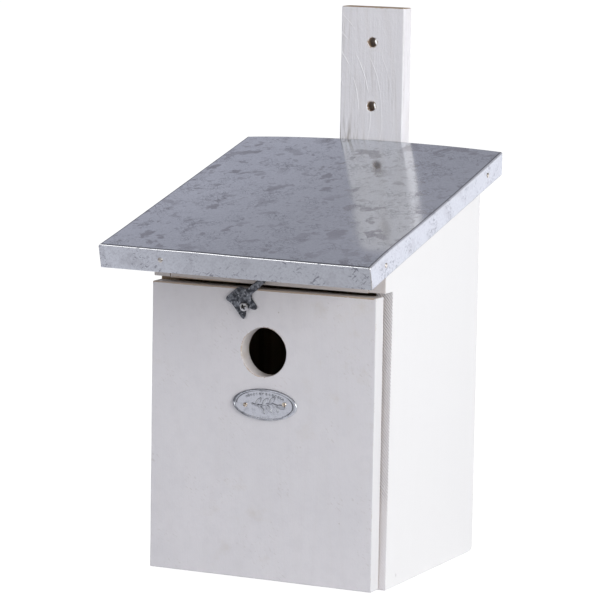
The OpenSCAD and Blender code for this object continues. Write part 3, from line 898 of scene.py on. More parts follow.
TOP_RISE = BOARD * math.tan(ROOF_SLOPE)
HEADER_SAG = 0.5 * MM
header_foot = HEADER_LOW - Vector((0.0, 0.0, HEADER_SAG))
inner_board("header_board", "header_rail", header_foot, HEADER_HIGH,
            sloped(header_foot, HEADER_HIGH, TOP_RISE), Vector((0, -1, 0)), SHADED_RAIL_PAINT, CROSS_WOOD, 4.0)
inner_board("back_plank", "back_board", BACK_LOW, BACK_HIGH,
            sloped(BACK_LOW, BACK_HIGH, TOP_RISE), Vector((0, 1, 0)), SIDE_PAINT, INNER_WOOD, 5.0)
inner_board("floor_plank", "floor_board", FLOOR_LOW, FLOOR_HIGH,
            sloped(FLOOR_LOW, FLOOR_HIGH, 0.0), Vector((0, 0, -1)), SIDE_PAINT, CROSS_WOOD, 6.0)

# %% [markdown]
# ## The door
#
# The door is one board with the round entrance drilled through it. Its front and its sides are
# painted. The end grain on top and in the hole has drunk the paint and shows thin, and the back,
# which looks into the box, is bare.

# %% The door
door = plank("door_board", rectangle(DOOR_LOW.x, DOOR_LOW.z, DOOR_HIGH.x, DOOR_HIGH.z),
             DOOR_HIGH.y - DOOR_LOW.y, from_front(DOOR_HIGH.y),
             holes=[(HOLE_X, HOLE_Z, HOLE_WIDTH)], ease=0.7 * MM, sway=0.2 * MM, torn=0.12 * MM, seed=7.0)


def door_faces(middle, normal):
    if normal.y > FACING:
        return 1
    if abs(normal.x) > FACING and abs(middle.x) > HOLE_WIDTH:
        return 3
    in_hole = (middle - Vector((HOLE_X, middle.y, HOLE_Z))).length < HOLE_WIDTH / 2 + MARGIN
    top = normal.z > FACING and middle.z > DOOR_HIGH.z - MARGIN
    return 2 if top or (in_hole and normal.y > -FACING) else 0


finish_faces(door, [DOOR_PAINT, DOOR_BACK, THIN_PAINT, DOOR_SIDE], door_faces)
rub(door, 1.16, lambda point: point.x > DOOR_HIGH.x - MARGIN)
rub(door, 1.9, lambda point: point.z > DOOR_HIGH.z - MARGIN and point.x < DOOR_HIGH.x - MARGIN)
settle(door, "front_door", "white_painted_wood", "door")

# %% [markdown]
# ## The batten
#
# The batten is a rough sawn lath behind the box. The two hanging holes near its top were drilled
# through the paint, so their rims are torn. Three countersunk screws hold it from behind; each sits
# in a hole of its own, a little wider than the screw's head.

# %% The batten
BATTEN_X = (BATTEN_LOW.x + BATTEN_HIGH.x) / 2
HANG_DROPS = (24 * MM, 67.5 * MM)
HANG_WIDTH = 6.3 * MM
SCREW_NODES = ("batten_screw_low", "batten_screw_mid", "batten_screw_high")
SCREW_HEAD = 7 * MM
SCREW_HOLE = SCREW_HEAD + 0.9 * MM
SCREW_HEIGHTS = [(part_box(node)[0].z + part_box(node)[1].z) / 2 for node in SCREW_NODES]

batten_holes = [(BATTEN_X, BATTEN_HIGH.z - drop, HANG_WIDTH) for drop in HANG_DROPS]
batten_holes += [(BATTEN_X, z, SCREW_HOLE) for z in SCREW_HEIGHTS]
batten = plank("batten_lath", rectangle(BATTEN_LOW.x, BATTEN_LOW.z, BATTEN_HIGH.x, BATTEN_HIGH.z),
               BATTEN_HIGH.y - BATTEN_LOW.y, from_front(BATTEN_HIGH.y),
               holes=batten_holes, ease=0.8 * MM, sway=0.25 * MM, torn=0.35 * MM, seed=8.0)


def batten_faces(middle, normal):
    if normal.z > FACING and middle.z > BATTEN_HIGH.z - MARGIN:
        return 1
    in_hole = abs(normal.y) < 0.3 and abs(middle.x - BATTEN_X) < SCREW_HOLE
    return 2 if in_hole and MARGIN < middle.z < BATTEN_HIGH.z - MARGIN else 0


finish_faces(batten, [BATTEN_PAINT, EDGE_WOOD, DRILLED_WOOD], batten_faces)
rub(batten, 0.9, lambda point: point.x > BATTEN_HIGH.x - MARGIN)
rub(batten, 1.2, lambda point: point.z > BATTEN_HIGH.z - MARGIN)
settle(batten, "box", "white_painted_wood", "mounting_batten")

# %% [markdown]
# ## The roof board
#
# A board lies under the sheet and carries it. Only its underside and its back edge can be seen. It
# is made a little narrower than the frame's, and its hidden top is planed down towards the front,
# because the real sheet sags there and would otherwise let the board through.

# %% The roof board
SHEET = 0.6 * MM
SHEET_PLAY = 1.6 * MM
PLANED = (2.4 * MM, 1.2 * MM)


def roof_point(x, along_slope, depth):
    """A point given along the slope from the front fold, and under the sheet's top face."""
    y = SHEET_LOW.y + along_slope * math.cos(ROOF_SLOPE) + depth * math.sin(ROOF_SLOPE)
    z = FOLD_Z + along_slope * math.sin(ROOF_SLOPE) - depth * math.cos(ROOF_SLOPE)
    return Vector((x, y, z))


SKIRT = 15.3 * MM
FOLD_Z = SHEET_HIGH.z - (SHEET_HIGH.y - SHEET_LOW.y) * math.tan(ROOF_SLOPE)
ROOF_LENGTH = (SHEET_HIGH.y - SHEET_LOW.y) / math.cos(ROOF_SLOPE)


def roof_end(depth):
    """How far along the slope the box's upright back plane lies at this depth."""
    return ROOF_LENGTH - depth * math.tan(ROOF_SLOPE)


under = SHEET + BOARD
board_corners = [roof_point(0, SHEET_PLAY, SHEET + PLANED[0]),
                 roof_point(0, 0.88 * ROOF_LENGTH, SHEET + PLANED[1]),
                 roof_point(0, roof_end(SHEET), SHEET),
                 roof_point(0, roof_end(under), under), roof_point(0, SHEET_PLAY, under)]
roof_plank = plank("roof_plank", [(c.y, c.z) for c in board_corners],
                   ROOF_HIGH.x - ROOF_LOW.x - 2 * SHEET_PLAY, from_side(ROOF_LOW.x + SHEET_PLAY),
                   sway=0.0, seed=9.0)
finish_faces(roof_plank, [SHADED_RAIL_PAINT], lambda middle, normal: 0)
settle(roof_plank, "box", "white_painted_wood", "roof_board")

# %% [markdown]
# ## The folded sheet
#
# The roof is made here as a tinsmith makes it. A flat blank is cut, its corner squares are snipped
# out, and the front and the two sides are folded down over a small radius. The blank is a grid: it
# is cut along a line wherever it has to bend, so that each fold gets its own few strips, and close
# to every free edge, so that only the edge itself catches the light. Folding is
# then a rule for one point: past the start of a fold it runs round the arc, and after the arc it
# goes straight down. The real sheet is not flat either. It bulges at its free back edge, it
# sags towards the front right corner, and its right skirt opens a little there. Last, the sheet gets its thickness inwards.

# %% The folded sheet
FOLD_RADIUS = 1.0 * MM
FOLD_STRIPS = 6
SHEET_STEP = 5 * MM
BULGE = 3.1 * MM
FOLD_GUARD = 0.25 * MM
EDGE_GUARD = 0.35 * MM
# The widths of the painted shade lines beside the side folds and behind the front fold.
SHADE_WIDTH = 0.4 * MM
FRONT_SHADE = 1.2 * MM
FRONT_WIDENING = 0.95 * MM
FRONT_TILT = (-0.4 * MM, 1.7 * MM)
FRONT_REACH = 40 * MM
SIDE_SAG = 1.3 * MM
SKIRT_TILT = 1.6 * MM
CORNER_REACH = 26 * MM
CORNER_FLARE = 0.4 * MM
quarter_arc = FOLD_RADIUS * math.pi / 2
flap = quarter_arc + SKIRT - FOLD_RADIUS
roof_width = SHEET_HIGH.x - SHEET_LOW.x
flat_left = FOLD_RADIUS
flat_right = roof_width - FOLD_RADIUS
flat_front = FOLD_RADIUS


def steps(start, end, size):
    count = max(1, round((end - start) / size))
    return [start + (end - start) * i / count for i in range(count + 1)]


def folded(distance):
    """How far out and how far down a point gets, this far past the start of a fold."""
    if distance <= 0.0:
        return distance, 0.0
    if distance < quarter_arc:
        angle = distance / FOLD_RADIUS
        return FOLD_RADIUS * math.sin(angle), FOLD_RADIUS * (1.0 - math.cos(angle))
    return FOLD_RADIUS, FOLD_RADIUS + distance - quarter_arc


def sag(share, run, down_x, down_y):
    """How much lower than a true sheet this point lies: the front sinks to the right, and the right fold
    sinks between its ends. The skirts follow less and less towards their lower edges."""
    along = min(max(run / ROOF_LENGTH, 0.0), 1.0)
    ahead = min(1.0, max(0.0, 1.0 - run / FRONT_REACH)) ** 2
    sunk = (FRONT_TILT[0] + share * (FRONT_TILT[1] - FRONT_TILT[0])) * ahead
    sunk += SIDE_SAG * share ** 3 * math.sin(math.pi * along)
    hang = min(1.0, down_x / SKIRT)
    tilt = SKIRT_TILT * (0.44 - along) * hang if share > 0.5 else 0.0
    return sunk * (1.0 - hang) * (1.0 - 0.6 * min(1.0, down_y / SKIRT)) + tilt


def sheet_point(across, back):
    """The place on the folded roof of a point on the flat blank."""
    out_x, down_x = 0.0, 0.0
    x = across
    if across > flat_right:
        out_x, down_x = folded(across - flat_right)
        x = flat_right + out_x
    elif across < flat_left:
        out_x, down_x = folded(flat_left - across)
        x = flat_left - out_x
    out_y, down_y = folded(flat_front - back) if back < flat_front else (0.0, 0.0)
    run = flat_front - out_y if back < flat_front else back
    down = down_x + down_y
    end_share = max(0.0, abs(across / roof_width - 0.5) * 2.0 - 0.9) * 10.0
    widening = FRONT_WIDENING * end_share * min(1.0, down_y / FOLD_RADIUS)
    x += widening if across > roof_width / 2 else -widening
    share = min(max(x / roof_width, 0.0), 1.0)
    rise = BULGE * math.sin(math.pi * share) ** 0.8 * (max(run, 0.0) / ROOF_LENGTH) ** 3
    dent = 0.25 * MM * noise.noise(Vector((across * 22.0, run * 22.0, 4.0))) * math.sin(math.pi * share)
    top = 1.0 if down < FOLD_RADIUS else 0.0
    rightmost = min(1.0, max(0.0, across / roof_width - 0.5) * 2.0) ** 6
    corner = min(1.0, max(0.0, 1.0 - run / CORNER_REACH)) ** 2
    x += CORNER_FLARE * rightmost * corner * min(1.0, down_x / SKIRT)
    run -= (ROOF_LENGTH - roof_end(down)) * max(0.0, run / ROOF_LENGTH) ** 8
    place = roof_point(SHEET_LOW.x + x, run, down - (rise + dent) * top + sag(share, run, down_x, down_y))
    place.x = min(place.x, CAD_BOX[1][0])
    place.y = max(place.y, SHEET_LOW.y)
    return place


across_cuts = steps(flat_left, flat_right, SHEET_STEP)
across_cuts += [flat_left + FOLD_GUARD, flat_right - FOLD_GUARD]
across_cuts += [flat_left - quarter_arc - FOLD_GUARD, flat_right + quarter_arc + FOLD_GUARD]
across_cuts += steps(flat_right, flat_right + quarter_arc, quarter_arc / FOLD_STRIPS)[1:]
across_cuts += steps(flat_left - quarter_arc, flat_left, quarter_arc / FOLD_STRIPS)[:-1]
across_cuts += [flat_right + (quarter_arc + flap) / 2, flat_left - (quarter_arc + flap) / 2]
across_cuts += [flat_right + flap - EDGE_GUARD, flat_left - flap + EDGE_GUARD]
back_cuts = steps(flat_front, ROOF_LENGTH, SHEET_STEP)[:-1]
back_cuts += steps(flat_front - quarter_arc, flat_front, quarter_arc / FOLD_STRIPS)[:-1]
back_cuts += [flat_front - (quarter_arc + flap) / 2]
back_cuts += [flat_front + FOLD_GUARD, flat_front - quarter_arc - FOLD_GUARD]
back_cuts += [flat_front - flap + EDGE_GUARD, ROOF_LENGTH - EDGE_GUARD]
across_cuts += [flat_left + SHADE_WIDTH, flat_right - SHADE_WIDTH, flat_left + 2 * SHADE_WIDTH,
                flat_right - 2 * SHADE_WIDTH]
back_cuts += [flat_front + FRONT_SHADE, flat_front + 1.5 * FRONT_SHADE]


def beside_fold(across, back):
    """1 on the flat sheet close to a fold and at the open edges of the skirts, else 0: the places of thin painted
    shade lines.
    """
    if across > flat_right + flap - EDGE_GUARD / 2:
        return 1.0
    side = min(across - flat_left, flat_right - across)
    if back < flat_front - quarter_arc:
        return 1.0 if side < SHADE_WIDTH / 2 else 0.0
    if side < -0.01 * MM or back < flat_front - 0.01 * MM:
        return 0.0
    return 1.0 if side < 1.01 * SHADE_WIDTH or back - flat_front < 1.01 * FRONT_SHADE else 0.0


bm = bmesh.new()
low_corner = Vector((flat_left - flap, flat_front - flap, 0.0))
high_corner = Vector((flat_right + flap, ROOF_LENGTH, 0.0))
blank_size = high_corner - low_corner
blank_place = Matrix.Translation((low_corner + high_corner) / 2) @ Matrix.Diagonal((*blank_size.xy, 1.0, 1.0))
bmesh.ops.create_grid(bm, x_segments=1, y_segments=1, size=0.5, matrix=blank_place)
for cut in across_cuts:
    bmesh.ops.bisect_plane(bm, geom=bm.verts[:] + bm.edges[:] + bm.faces[:], dist=1e-7,
                           plane_co=(cut, 0.0, 0.0), plane_no=(1.0, 0.0, 0.0))
for cut in back_cuts:
    bmesh.ops.bisect_plane(bm, geom=bm.verts[:] + bm.edges[:] + bm.faces[:], dist=1e-7,
                           plane_co=(0.0, cut, 0.0), plane_no=(0.0, 1.0, 0.0))
waste = [face for face in bm.faces
         if face.calc_center_median().y < flat_front
         and not flat_left < face.calc_center_median().x < flat_right]
bmesh.ops.delete(bm, geom=waste, context="FACES")
# The marked points get thin dark lines of painted shade.
painted_shade = bm.verts.layers.float.new("painted_shade")
for vert in bm.verts:
    vert[painted_shade] = beside_fold(vert.co.x, vert.co.y)
    vert.co = sheet_point(vert.co.x, vert.co.y)
for face in bm.faces:
    face.smooth = True
bmesh.ops.recalc_face_normals(bm, faces=bm.faces[:])
if sum(face.normal.z * face.calc_area() for face in bm.faces) < 0:
    bmesh.ops.reverse_faces(bm, faces=bm.faces[:])
roof = named_mesh("folded_roof", bm)
thicken = roof.modifiers.new("thickness", "SOLIDIFY")
thicken.thickness = SHEET
thicken.offset = -1.0
thicken.material_offset_rim = 3


def sheet_faces(middle, normal):
    """0 is the flat sheet, 1 a skirt and 2 a fold, whose bright zinc is a painted highlight."""
    if normal.z > 0.94:
        return 0
    return 1 if normal.z < 0.20 else 2


finish_faces(roof, [ROOF_ZINC, SKIRT_ZINC, FOLD_HIGHLIGHT_ZINC, CUT_ZINC, CUT_ZINC, CUT_ZINC], sheet_faces)
settle(roof, "box", "galvanised_sheet", "roof_sheet")

# %% [markdown]
# ## Metal fittings
#
# The plate, the catch, the screws and the nails are small, but the eye goes to them first. Pale
# pressed zinc is for the plate, dark mottled zinc for the catch, bright steel for the screws and
# hinges, and a browned steel or brass for what was hammered in.

# %% Finishes of the fittings
PLATE_ZINC = (0.795, 0.815, 0.845, 1.0)
PLATE_SOIL_AND_SHADE = (0.10, 0.105, 0.12, 1.0)
CATCH_PALE = (0.30, 0.315, 0.34, 1.0)
CATCH_DARK = (0.060, 0.064, 0.072, 1.0)
CATCH_SPECK = (0.70, 0.725, 0.76, 1.0)


def pressed_zinc(name):
    """Reads an attribute that is 1 where the pressing is steep and on the shaded rim: partly dirt, partly painted
    shade.
    """
    finish, tree = new_finish(name)
    place = object_place(tree)
    painted_shade = add_node(tree, "ShaderNodeAttribute", attribute_name="painted_shade").outputs["Fac"]
    stain = cloud(tree, place, 260.0, 4.0, 0.6)
    shade_and_dirt = maths(tree, "MULTIPLY", painted_shade, ramp(tree, stain, 0.25, 0.6, 0.35, 1.0))
    colour = tint(tree, ramp(tree, stain, 0.45, 0.75, 0.0, 0.30), PLATE_ZINC, PLATE_SOIL_AND_SHADE)
    colour = tint(tree, maths(tree, "MULTIPLY", shade_and_dirt, 0.85), colour, PLATE_SOIL_AND_SHADE)
    dents = cloud(tree, place, 900.0, 3.0, 0.55)
    rough = maths(tree, "MULTIPLY_ADD", shade_and_dirt, 0.2, ramp(tree, stain, 0.3, 0.7, 0.15, 0.24))
    close_finish(tree, colour, rough, bumped(tree, dents, 0.06 * MM), metal=1.0)
    return finish


def mottled_zinc(name):
    finish, tree = new_finish(name)
    place = object_place(tree)
    blots = cloud(tree, place, 300.0, 4.0, 0.62, 0.4)
    colour = tint(tree, ramp(tree, blots, 0.40, 0.62), CATCH_DARK, CATCH_PALE)
    specks = cloud(tree, object_place(tree, shift=(0.4, 0.1, 0.3)), 520.0, 3.0, 0.55, 0.5)
    bright = ramp(tree, specks, 0.56, 0.66)
    colour = tint(tree, maths(tree, "MULTIPLY", bright, 0.70), colour, CATCH_SPECK)
    edge = add_node(tree, "ShaderNodeAttribute", attribute_name="edge").outputs["Fac"]
    colour = tint(tree, maths(tree, "MULTIPLY", edge, 0.35), colour, CATCH_DARK)
    rough = ramp(tree, blots, 0.3, 0.7, 0.55, 0.38)
    relief = maths(tree, "MULTIPLY_ADD", specks, 0.5, blots)
    close_finish(tree, colour, rough, bumped(tree, relief, 0.14 * MM), metal=1.0)
    return finish


PRESSED_ZINC = pressed_zinc("plate_zinc")
MOTTLED_ZINC = mottled_zinc("mottled_zinc")
BRIGHT_STEEL = small_metal("screw_steel", (0.60, 0.60, 0.60, 1.0), (0.11, 0.105, 0.10, 1.0), 0.45, 0.18)
HINGE_STEEL = small_metal("hinge_steel", (0.66, 0.67, 0.69, 1.0), (0.36, 0.34, 0.32, 1.0), 0.35, 0.30, 220.0)
NAIL_STEEL = small_metal("nail_steel", (0.72, 0.68, 0.61, 1.0), (0.17, 0.13, 0.10, 1.0), 0.42, 0.18, 900.0)
TACK_BRASS = small_metal("tack_brass", (0.86, 0.76, 0.62, 1.0), (0.13, 0.09, 0.06, 1.0), 0.40, 0.14, 900.0)
print("six metals for the fittings are ready")

# %% [markdown]
# ## Round fields
#
# The oval plate and the heads of the screws are round, with something worked into their face. A spun
# disc has a pole in its middle, just where that detail has to go. So a square grid is made and
# pressed into an oval, which keeps even squares in the middle. Its open border is then extruded ring
# by ring, over the rim and down to the back, and the last ring is filled.

# %% A round field and its rings
def round_field(bm, columns, rows, oval):
    """A grid of squares, pressed into an oval given by its two half sizes."""
    bmesh.ops.create_grid(bm, x_segments=columns, y_segments=rows, size=1.0)
    press_round(bm, oval)


def press_round(bm, oval):
    for vert in bm.verts:
        x, y = vert.co.xy
        vert.co.x = oval[0] * x * math.sqrt(1 - y * y / 2)
        vert.co.y = oval[1] * y * math.sqrt(1 - x * x / 2)


def grow_rings(bm, oval, rings):
    """Extrudes the open border to one ring after another: its two half sizes and its height."""
    for half_width, half_height, height in rings:
        border = [edge for edge in bm.edges if edge.is_boundary]
        grown = bmesh.ops.extrude_edge_only(bm, edges=border)["geom"]
        for vert in (item for item in grown if isinstance(item, bmesh.types.BMVert)):
            angle = math.atan2(vert.co.y / oval[1], vert.co.x / oval[0])
            vert.co = Vector((half_width * math.cos(angle), half_height * math.sin(angle), height))
        oval = (half_width, half_height)
    bmesh.ops.edgeloop_fill(bm, edges=[edge for edge in bm.edges if edge.is_boundary])
    face_outwards(bm)


def facing(place, outwards):
    """Turns a piece that was made looking up so that it looks outwards, and moves it to its place."""
    return Matrix.Translation(place) @ Vector(outwards).to_track_quat("Z", "Y").to_matrix().to_4x4()


def fitting(name, bm, finish, body, slot, *nodes, crisp=40):
    """Closes a metal piece: smooth faces, edges kept crisp above an angle, its finish and its body."""
    piece = named_mesh(name, bm)
    piece.data.shade_smooth()
    piece.data.set_sharp_from_angle(angle=math.radians(crisp))
    piece.data.materials.append(finish)
    settle(piece, body, slot, *nodes)


# %% [markdown]
# ## The oval plate
#
# A thin oval of pressed zinc is tacked to the door under the entrance. A rolled rim runs round it,
# and the field carries a simple sprig with leaves and an arc of beads. The relief is a height over
# each point of the field: the highest of the stem, the leaves and the beads. Where that height
# changes quickly the point gets an attribute that darkens it beside the relief, partly as dirt and
# partly as painted shade; the rim is darkened by it as painted shade.

# %% The relief of the plate
RELIEF = 0.60 * MM
STEM_HALF = 9.2 * MM
STEM_WAVE = 0.9 * MM
STEM_WIDTH = 0.55 * MM
LEAF_STEP = 5.0 * MM
LEAF_LENGTH = 6.6 * MM
LEAF_WIDTH = 1.4 * MM
LEAF_LEAN = math.radians(50)
BEAD_OVAL = (16.6 * MM, 6.9 * MM)
BEAD_RADIUS = 0.62 * MM
BEAD_ANGLES = [math.radians(angle) for angle in range(38, 143, 8)]


def swell(distance, width):
    """The height of a round ridge, 1 on its line and 0 at its width."""
    return math.sqrt(max(0.0, 1.0 - (distance / width) ** 2))


def stem_at(x):
    return STEM_WAVE * math.sin(math.pi * x / STEM_HALF)


def leaf_height(x, y, root_x, lean):
    across_x = x - root_x
    across_y = y - stem_at(root_x)
    run = across_x * math.cos(lean) + across_y * math.sin(lean)
    side = across_y * math.cos(lean) - across_x * math.sin(lean)
    if not 0.0 < run < LEAF_LENGTH:
        return 0.0
    width = LEAF_WIDTH * math.sin(math.pi * run / LEAF_LENGTH) ** 0.8
    vein = 0.35 * math.exp(-(side / (0.18 * MM)) ** 2)
    return swell(side, width) * (1.0 - vein) if abs(side) < width else 0.0


def sprig_height(x, y):
    height = swell(y - stem_at(x), STEM_WIDTH) if abs(x) < STEM_HALF else 0.0
    root = -STEM_HALF + LEAF_STEP / 2
    lean = LEAF_LEAN
    while root < STEM_HALF - LEAF_STEP / 2:
        height = max(height, leaf_height(x, y, root, lean))
        root += LEAF_STEP / 2
        lean = -lean
    height = max(height, leaf_height(x, y, STEM_HALF - 0.4 * MM, math.radians(-12)))
    for angle in BEAD_ANGLES:
        away = math.hypot(x - BEAD_OVAL[0] * math.cos(angle), y - BEAD_OVAL[1] * math.sin(angle))
        height = max(height, 0.8 * swell(away, BEAD_RADIUS))
    return height


# %% The oval plate
PLATE_LOW, PLATE_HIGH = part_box("oval_plate")
PLATE_MIDDLE = (PLATE_LOW + PLATE_HIGH) / 2
PLATE_OVAL = ((PLATE_HIGH.x - PLATE_LOW.x) / 2, (PLATE_HIGH.z - PLATE_LOW.z) / 2)
PLATE_RIM = 1.4 * MM
PLATE_FIELD = 0.70 * MM
PLATE_ROLL = PLATE_HIGH.y - PLATE_LOW.y - PLATE_FIELD
ROLL_RINGS = 12
CREASE_PROBE = 0.26 * MM
# The rim is drawn darker on the side away from the light and left lit on its lower left: painted shade.
SHADED_SIDE = math.radians(160)
INNER_LIT_SIDE = math.radians(245)
LIT_SIDE = math.radians(-5)


def rim_shade(place):
    """Painted shade on the rim: in the groove beside the field, under the outer edge, on the outer edge away from
    the lit side, and all over the shaded side.
    """
    ring = math.hypot(place.x / PLATE_OVAL[0], place.y / PLATE_OVAL[1])
    turned = math.atan2(place.y / PLATE_OVAL[1], place.x / PLATE_OVAL[0])
    if place.z < PLATE_FIELD * 0.5:
        return 1.0
    inner_lit = math.cos(turned - INNER_LIT_SIDE) > 0.45
    groove = (0.925, 0.96) if inner_lit else (0.855, 0.90)
    if groove[0] < ring < groove[1]:
        return 1.0
    if ring > 0.972:
        return 1.0 - 0.95 * max(0.0, math.cos(turned - LIT_SIDE)) ** 3
    return min(1.0, 1.5 * max(0.0, math.cos(turned - SHADED_SIDE))) if ring > 0.925 else 0.0

bm = bmesh.new()
field_oval = (PLATE_OVAL[0] - PLATE_RIM, PLATE_OVAL[1] - PLATE_RIM)
round_field(bm, 170, 84, field_oval)
painted_shade = bm.verts.layers.float.new("painted_shade")
for vert in bm.verts:
    x, y = vert.co.xy
    here = sprig_height(x, y)
    slope = max(abs(sprig_height(x + dx, y + dy) - here)
                for dx, dy in ((CREASE_PROBE, 0), (-CREASE_PROBE, 0), (0, CREASE_PROBE), (0, -CREASE_PROBE)))
    hollow = 0.12 * MM * noise.noise(Vector((x, y, 0.0)) * 260.0)
    vert.co.z = PLATE_FIELD + RELIEF * here + hollow
    # Steep relief is darkened, partly as dirt and partly as painted shade.
    vert[painted_shade] = min(1.0, 1.8 * slope)

rim_rings = []
for i in range(1, ROLL_RINGS + 1):
    turn = math.pi * i / ROLL_RINGS
    out = PLATE_RIM * (1 - math.cos(turn)) / 2
    rim_rings.append((field_oval[0] + out, field_oval[1] + out, PLATE_FIELD + PLATE_ROLL * math.sin(turn)))
rim_rings.append((*PLATE_OVAL, 0.0))
grow_rings(bm, field_oval, rim_rings)
for vert in bm.verts:
    vert[painted_shade] = max(vert[painted_shade], rim_shade(vert.co))
bm.transform(facing((PLATE_MIDDLE.x, PLATE_HIGH.y, PLATE_MIDDLE.z), (0, -1, 0)))
fitting("sprig_plate", bm, PRESSED_ZINC, "front_door", "pressed_zinc", "oval_plate", crisp=60)

# %% [markdown]
# ## Tacks, nails and pins
#
# What is round all the way is spun from half of its outline. The outline starts and ends on the axis,
# so the spin closes the piece, and the doubled points on the axis are merged. One helper draws the
# outline of anything with a domed head and a shank: the brass tacks and the roof nails.

# %% Domed heads
HEAD_STEPS = 6
SPIN_STEPS = 36


def spun(bm, outline):
    """Spins an outline of (radius, height) points round +Z."""
    points = [bm.verts.new((radius, 0.0, height)) for radius, height in outline]
    line = [bm.edges.new(pair) for pair in zip(points, points[1:])]
    bmesh.ops.spin(bm, geom=points + line, cent=(0, 0, 0), axis=(0, 0, 1), angle=math.tau,
                   steps=SPIN_STEPS, use_merge=True)
    bmesh.ops.remove_doubles(bm, verts=bm.verts[:], dist=1e-7)
    face_outwards(bm)


def domed_outline(radius, rise, brim, shank, length):
    """From the top of the dome, over its brim and under the head, to the end of the shank."""
    outline = []
    for i in range(HEAD_STEPS + 1):
        angle = math.pi / 2 * i / HEAD_STEPS
        outline.append((radius * math.sin(angle), brim + (rise - brim) * math.cos(angle)))
    return outline + [(radius, 0.0), (shank, 0.0), (shank, -length), (0.0, -length)]


def domed_nail(name, node, place, outwards, head, shank, finish, body, slot, tilt=0.0, dented=0.0):
    radius, rise = head
    bm = bmesh.new()
    spun(bm, domed_outline(radius, rise, 0.25 * rise, *shank))
    for vert in bm.verts:
        if vert.co.z > 0.0:
            vert.co.z -= dented * (1.0 + noise.noise(vert.co * 900.0 + Vector(place) * 50.0))
    bm.transform(facing(place, outwards) @ Matrix.Rotation(tilt, 4, "X"))
    fitting(name, bm, finish, body, slot, node)


# %% The brass tacks
TACK_RADIUS = 1.5 * MM
TACK_RISE = 0.7 * MM
TACK_SHANK = (0.7 * MM, 8.0 * MM)
for node in ("plate_tack_left", "plate_tack_right"):
    low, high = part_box(node)
    place = Vector(((low.x + high.x) / 2, low.y + TACK_RISE, (low.z + high.z) / 2))
    domed_nail("brass_" + node, node, place, (0, -1, 0), (TACK_RADIUS, TACK_RISE), TACK_SHANK,
               TACK_BRASS, "front_door", "brass_tack", dented=0.05 * MM)

# %% [markdown]
# The roof nails were hammered home through the skirt into the roof board. The front of the skirt is
# square to the slope, so its nail leans with it, and the side nails sit flush on the folded sheet,
# wherever the sheet really lies at that point. Where the sheet sags, its nail was driven lower.

# %% The roof nails
NAIL_RADIUS = 1.7 * MM
NAIL_RISE = 0.6 * MM
NAIL_SHANK = (0.8 * MM, 14.0 * MM)
NAIL_DEPTH = 7 * MM
SUNK = {"roof_nail_right_front": Vector((0.0, -2.3, -2.15)) * MM, "roof_nail_right_rear": Vector()}


def skirt_place(node, outwards):
    """The point where a nail's axis leaves the sheet, found from the flat blank."""
    low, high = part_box(node)
    middle = (low + high) / 2
    along_slope = (middle.y - SHEET_LOW.y - NAIL_DEPTH * math.sin(ROOF_SLOPE)) / math.cos(ROOF_SLOPE)
    past_fold = quarter_arc + NAIL_DEPTH - FOLD_RADIUS
    if outwards.x > 0:
        return Vector((sheet_point(flat_right + past_fold, along_slope).x, middle.y, middle.z)) + SUNK[node]
    if outwards.x < 0:
        return Vector((sheet_point(flat_left - past_fold, along_slope).x, middle.y, middle.z))
    return sheet_point(middle.x - SHEET_LOW.x, flat_front - past_fold)


FRONTWARDS = Vector((0.0, -math.cos(ROOF_SLOPE), -math.sin(ROOF_SLOPE)))
ROOF_NAILS = {"roof_nail_front": FRONTWARDS,
              "roof_nail_right_front": Vector((1, 0, 0)), "roof_nail_right_rear": Vector((1, 0, 0)),
              "roof_nail_left_front": Vector((-1, 0, 0)), "roof_nail_left_rear": Vector((-1, 0, 0))}
for node, outwards in ROOF_NAILS.items():
    domed_nail("domed_" + node, node, skirt_place(node, outwards), outwards, (NAIL_RADIUS, NAIL_RISE),
               NAIL_SHANK, NAIL_STEEL, "box", "dull_steel", dented=0.06 * MM)

# %% [markdown]
# ## Cross-slot screws
#
# The face of a screw head is a round field. While it is still a square grid, the squares that form a
# cross are extruded downwards and drawn in a little, which is the slot. Then the grid is pressed
# round and domed, and its border is extruded over the rim, in under the head and down the shank.

# %% The cross-slot head
SLOT_CELLS = 16
SLOT_WING = 0.20
SLOT_REACH = 0.70
SLOT_TAPER = 0.70


def over_slot(face):
    """Whether a square of the flat grid lies inside the cross."""
    x, y, z = (abs(value) for value in face.calc_center_median())
    return max(x, y) < SLOT_REACH and min(x, y) < SLOT_WING and z < 1e-6


def cross_field(bm, radius, dome, depth, spin):
    bmesh.ops.create_grid(bm, x_segments=SLOT_CELLS, y_segments=SLOT_CELLS, size=1.0)
    # The slot's points are marked, so the slot is drawn dark: painted shade in the recess.
    painted_shade = bm.verts.layers.float.new("painted_shade")
    sunk = bmesh.ops.extrude_face_region(bm, geom=[face for face in bm.faces if over_slot(face)])["geom"]
    for vert in (item for item in sunk if isinstance(item, bmesh.types.BMVert)):
        vert.co = Vector((vert.co.x * SLOT_TAPER, vert.co.y * SLOT_TAPER, -depth))
        vert[painted_shade] = 1.0
    bmesh.ops.delete(bm, geom=[face for face in bm.faces if over_slot(face)], context="FACES")
    bmesh.ops.delete(bm, geom=[edge for edge in bm.edges if edge.is_wire], context="EDGES")
    press_round(bm, (radius, radius))
    for vert in bm.verts:
        vert.co.z += dome * (1.0 - vert.co.xy.length_squared / radius ** 2)
    bmesh.ops.rotate(bm, verts=bm.verts[:], cent=(0, 0, 0), matrix=Matrix.Rotation(spin, 3, "Z"))


def cross_screw(bm, radius, dome, depth, spin, rings):
    """rings are (radius, height) pairs under the rim, down to the end of the shank."""
    cross_field(bm, radius, dome, depth, spin)
    grow_rings(bm, (radius, radius), [(size, size, height) for size, height in rings])


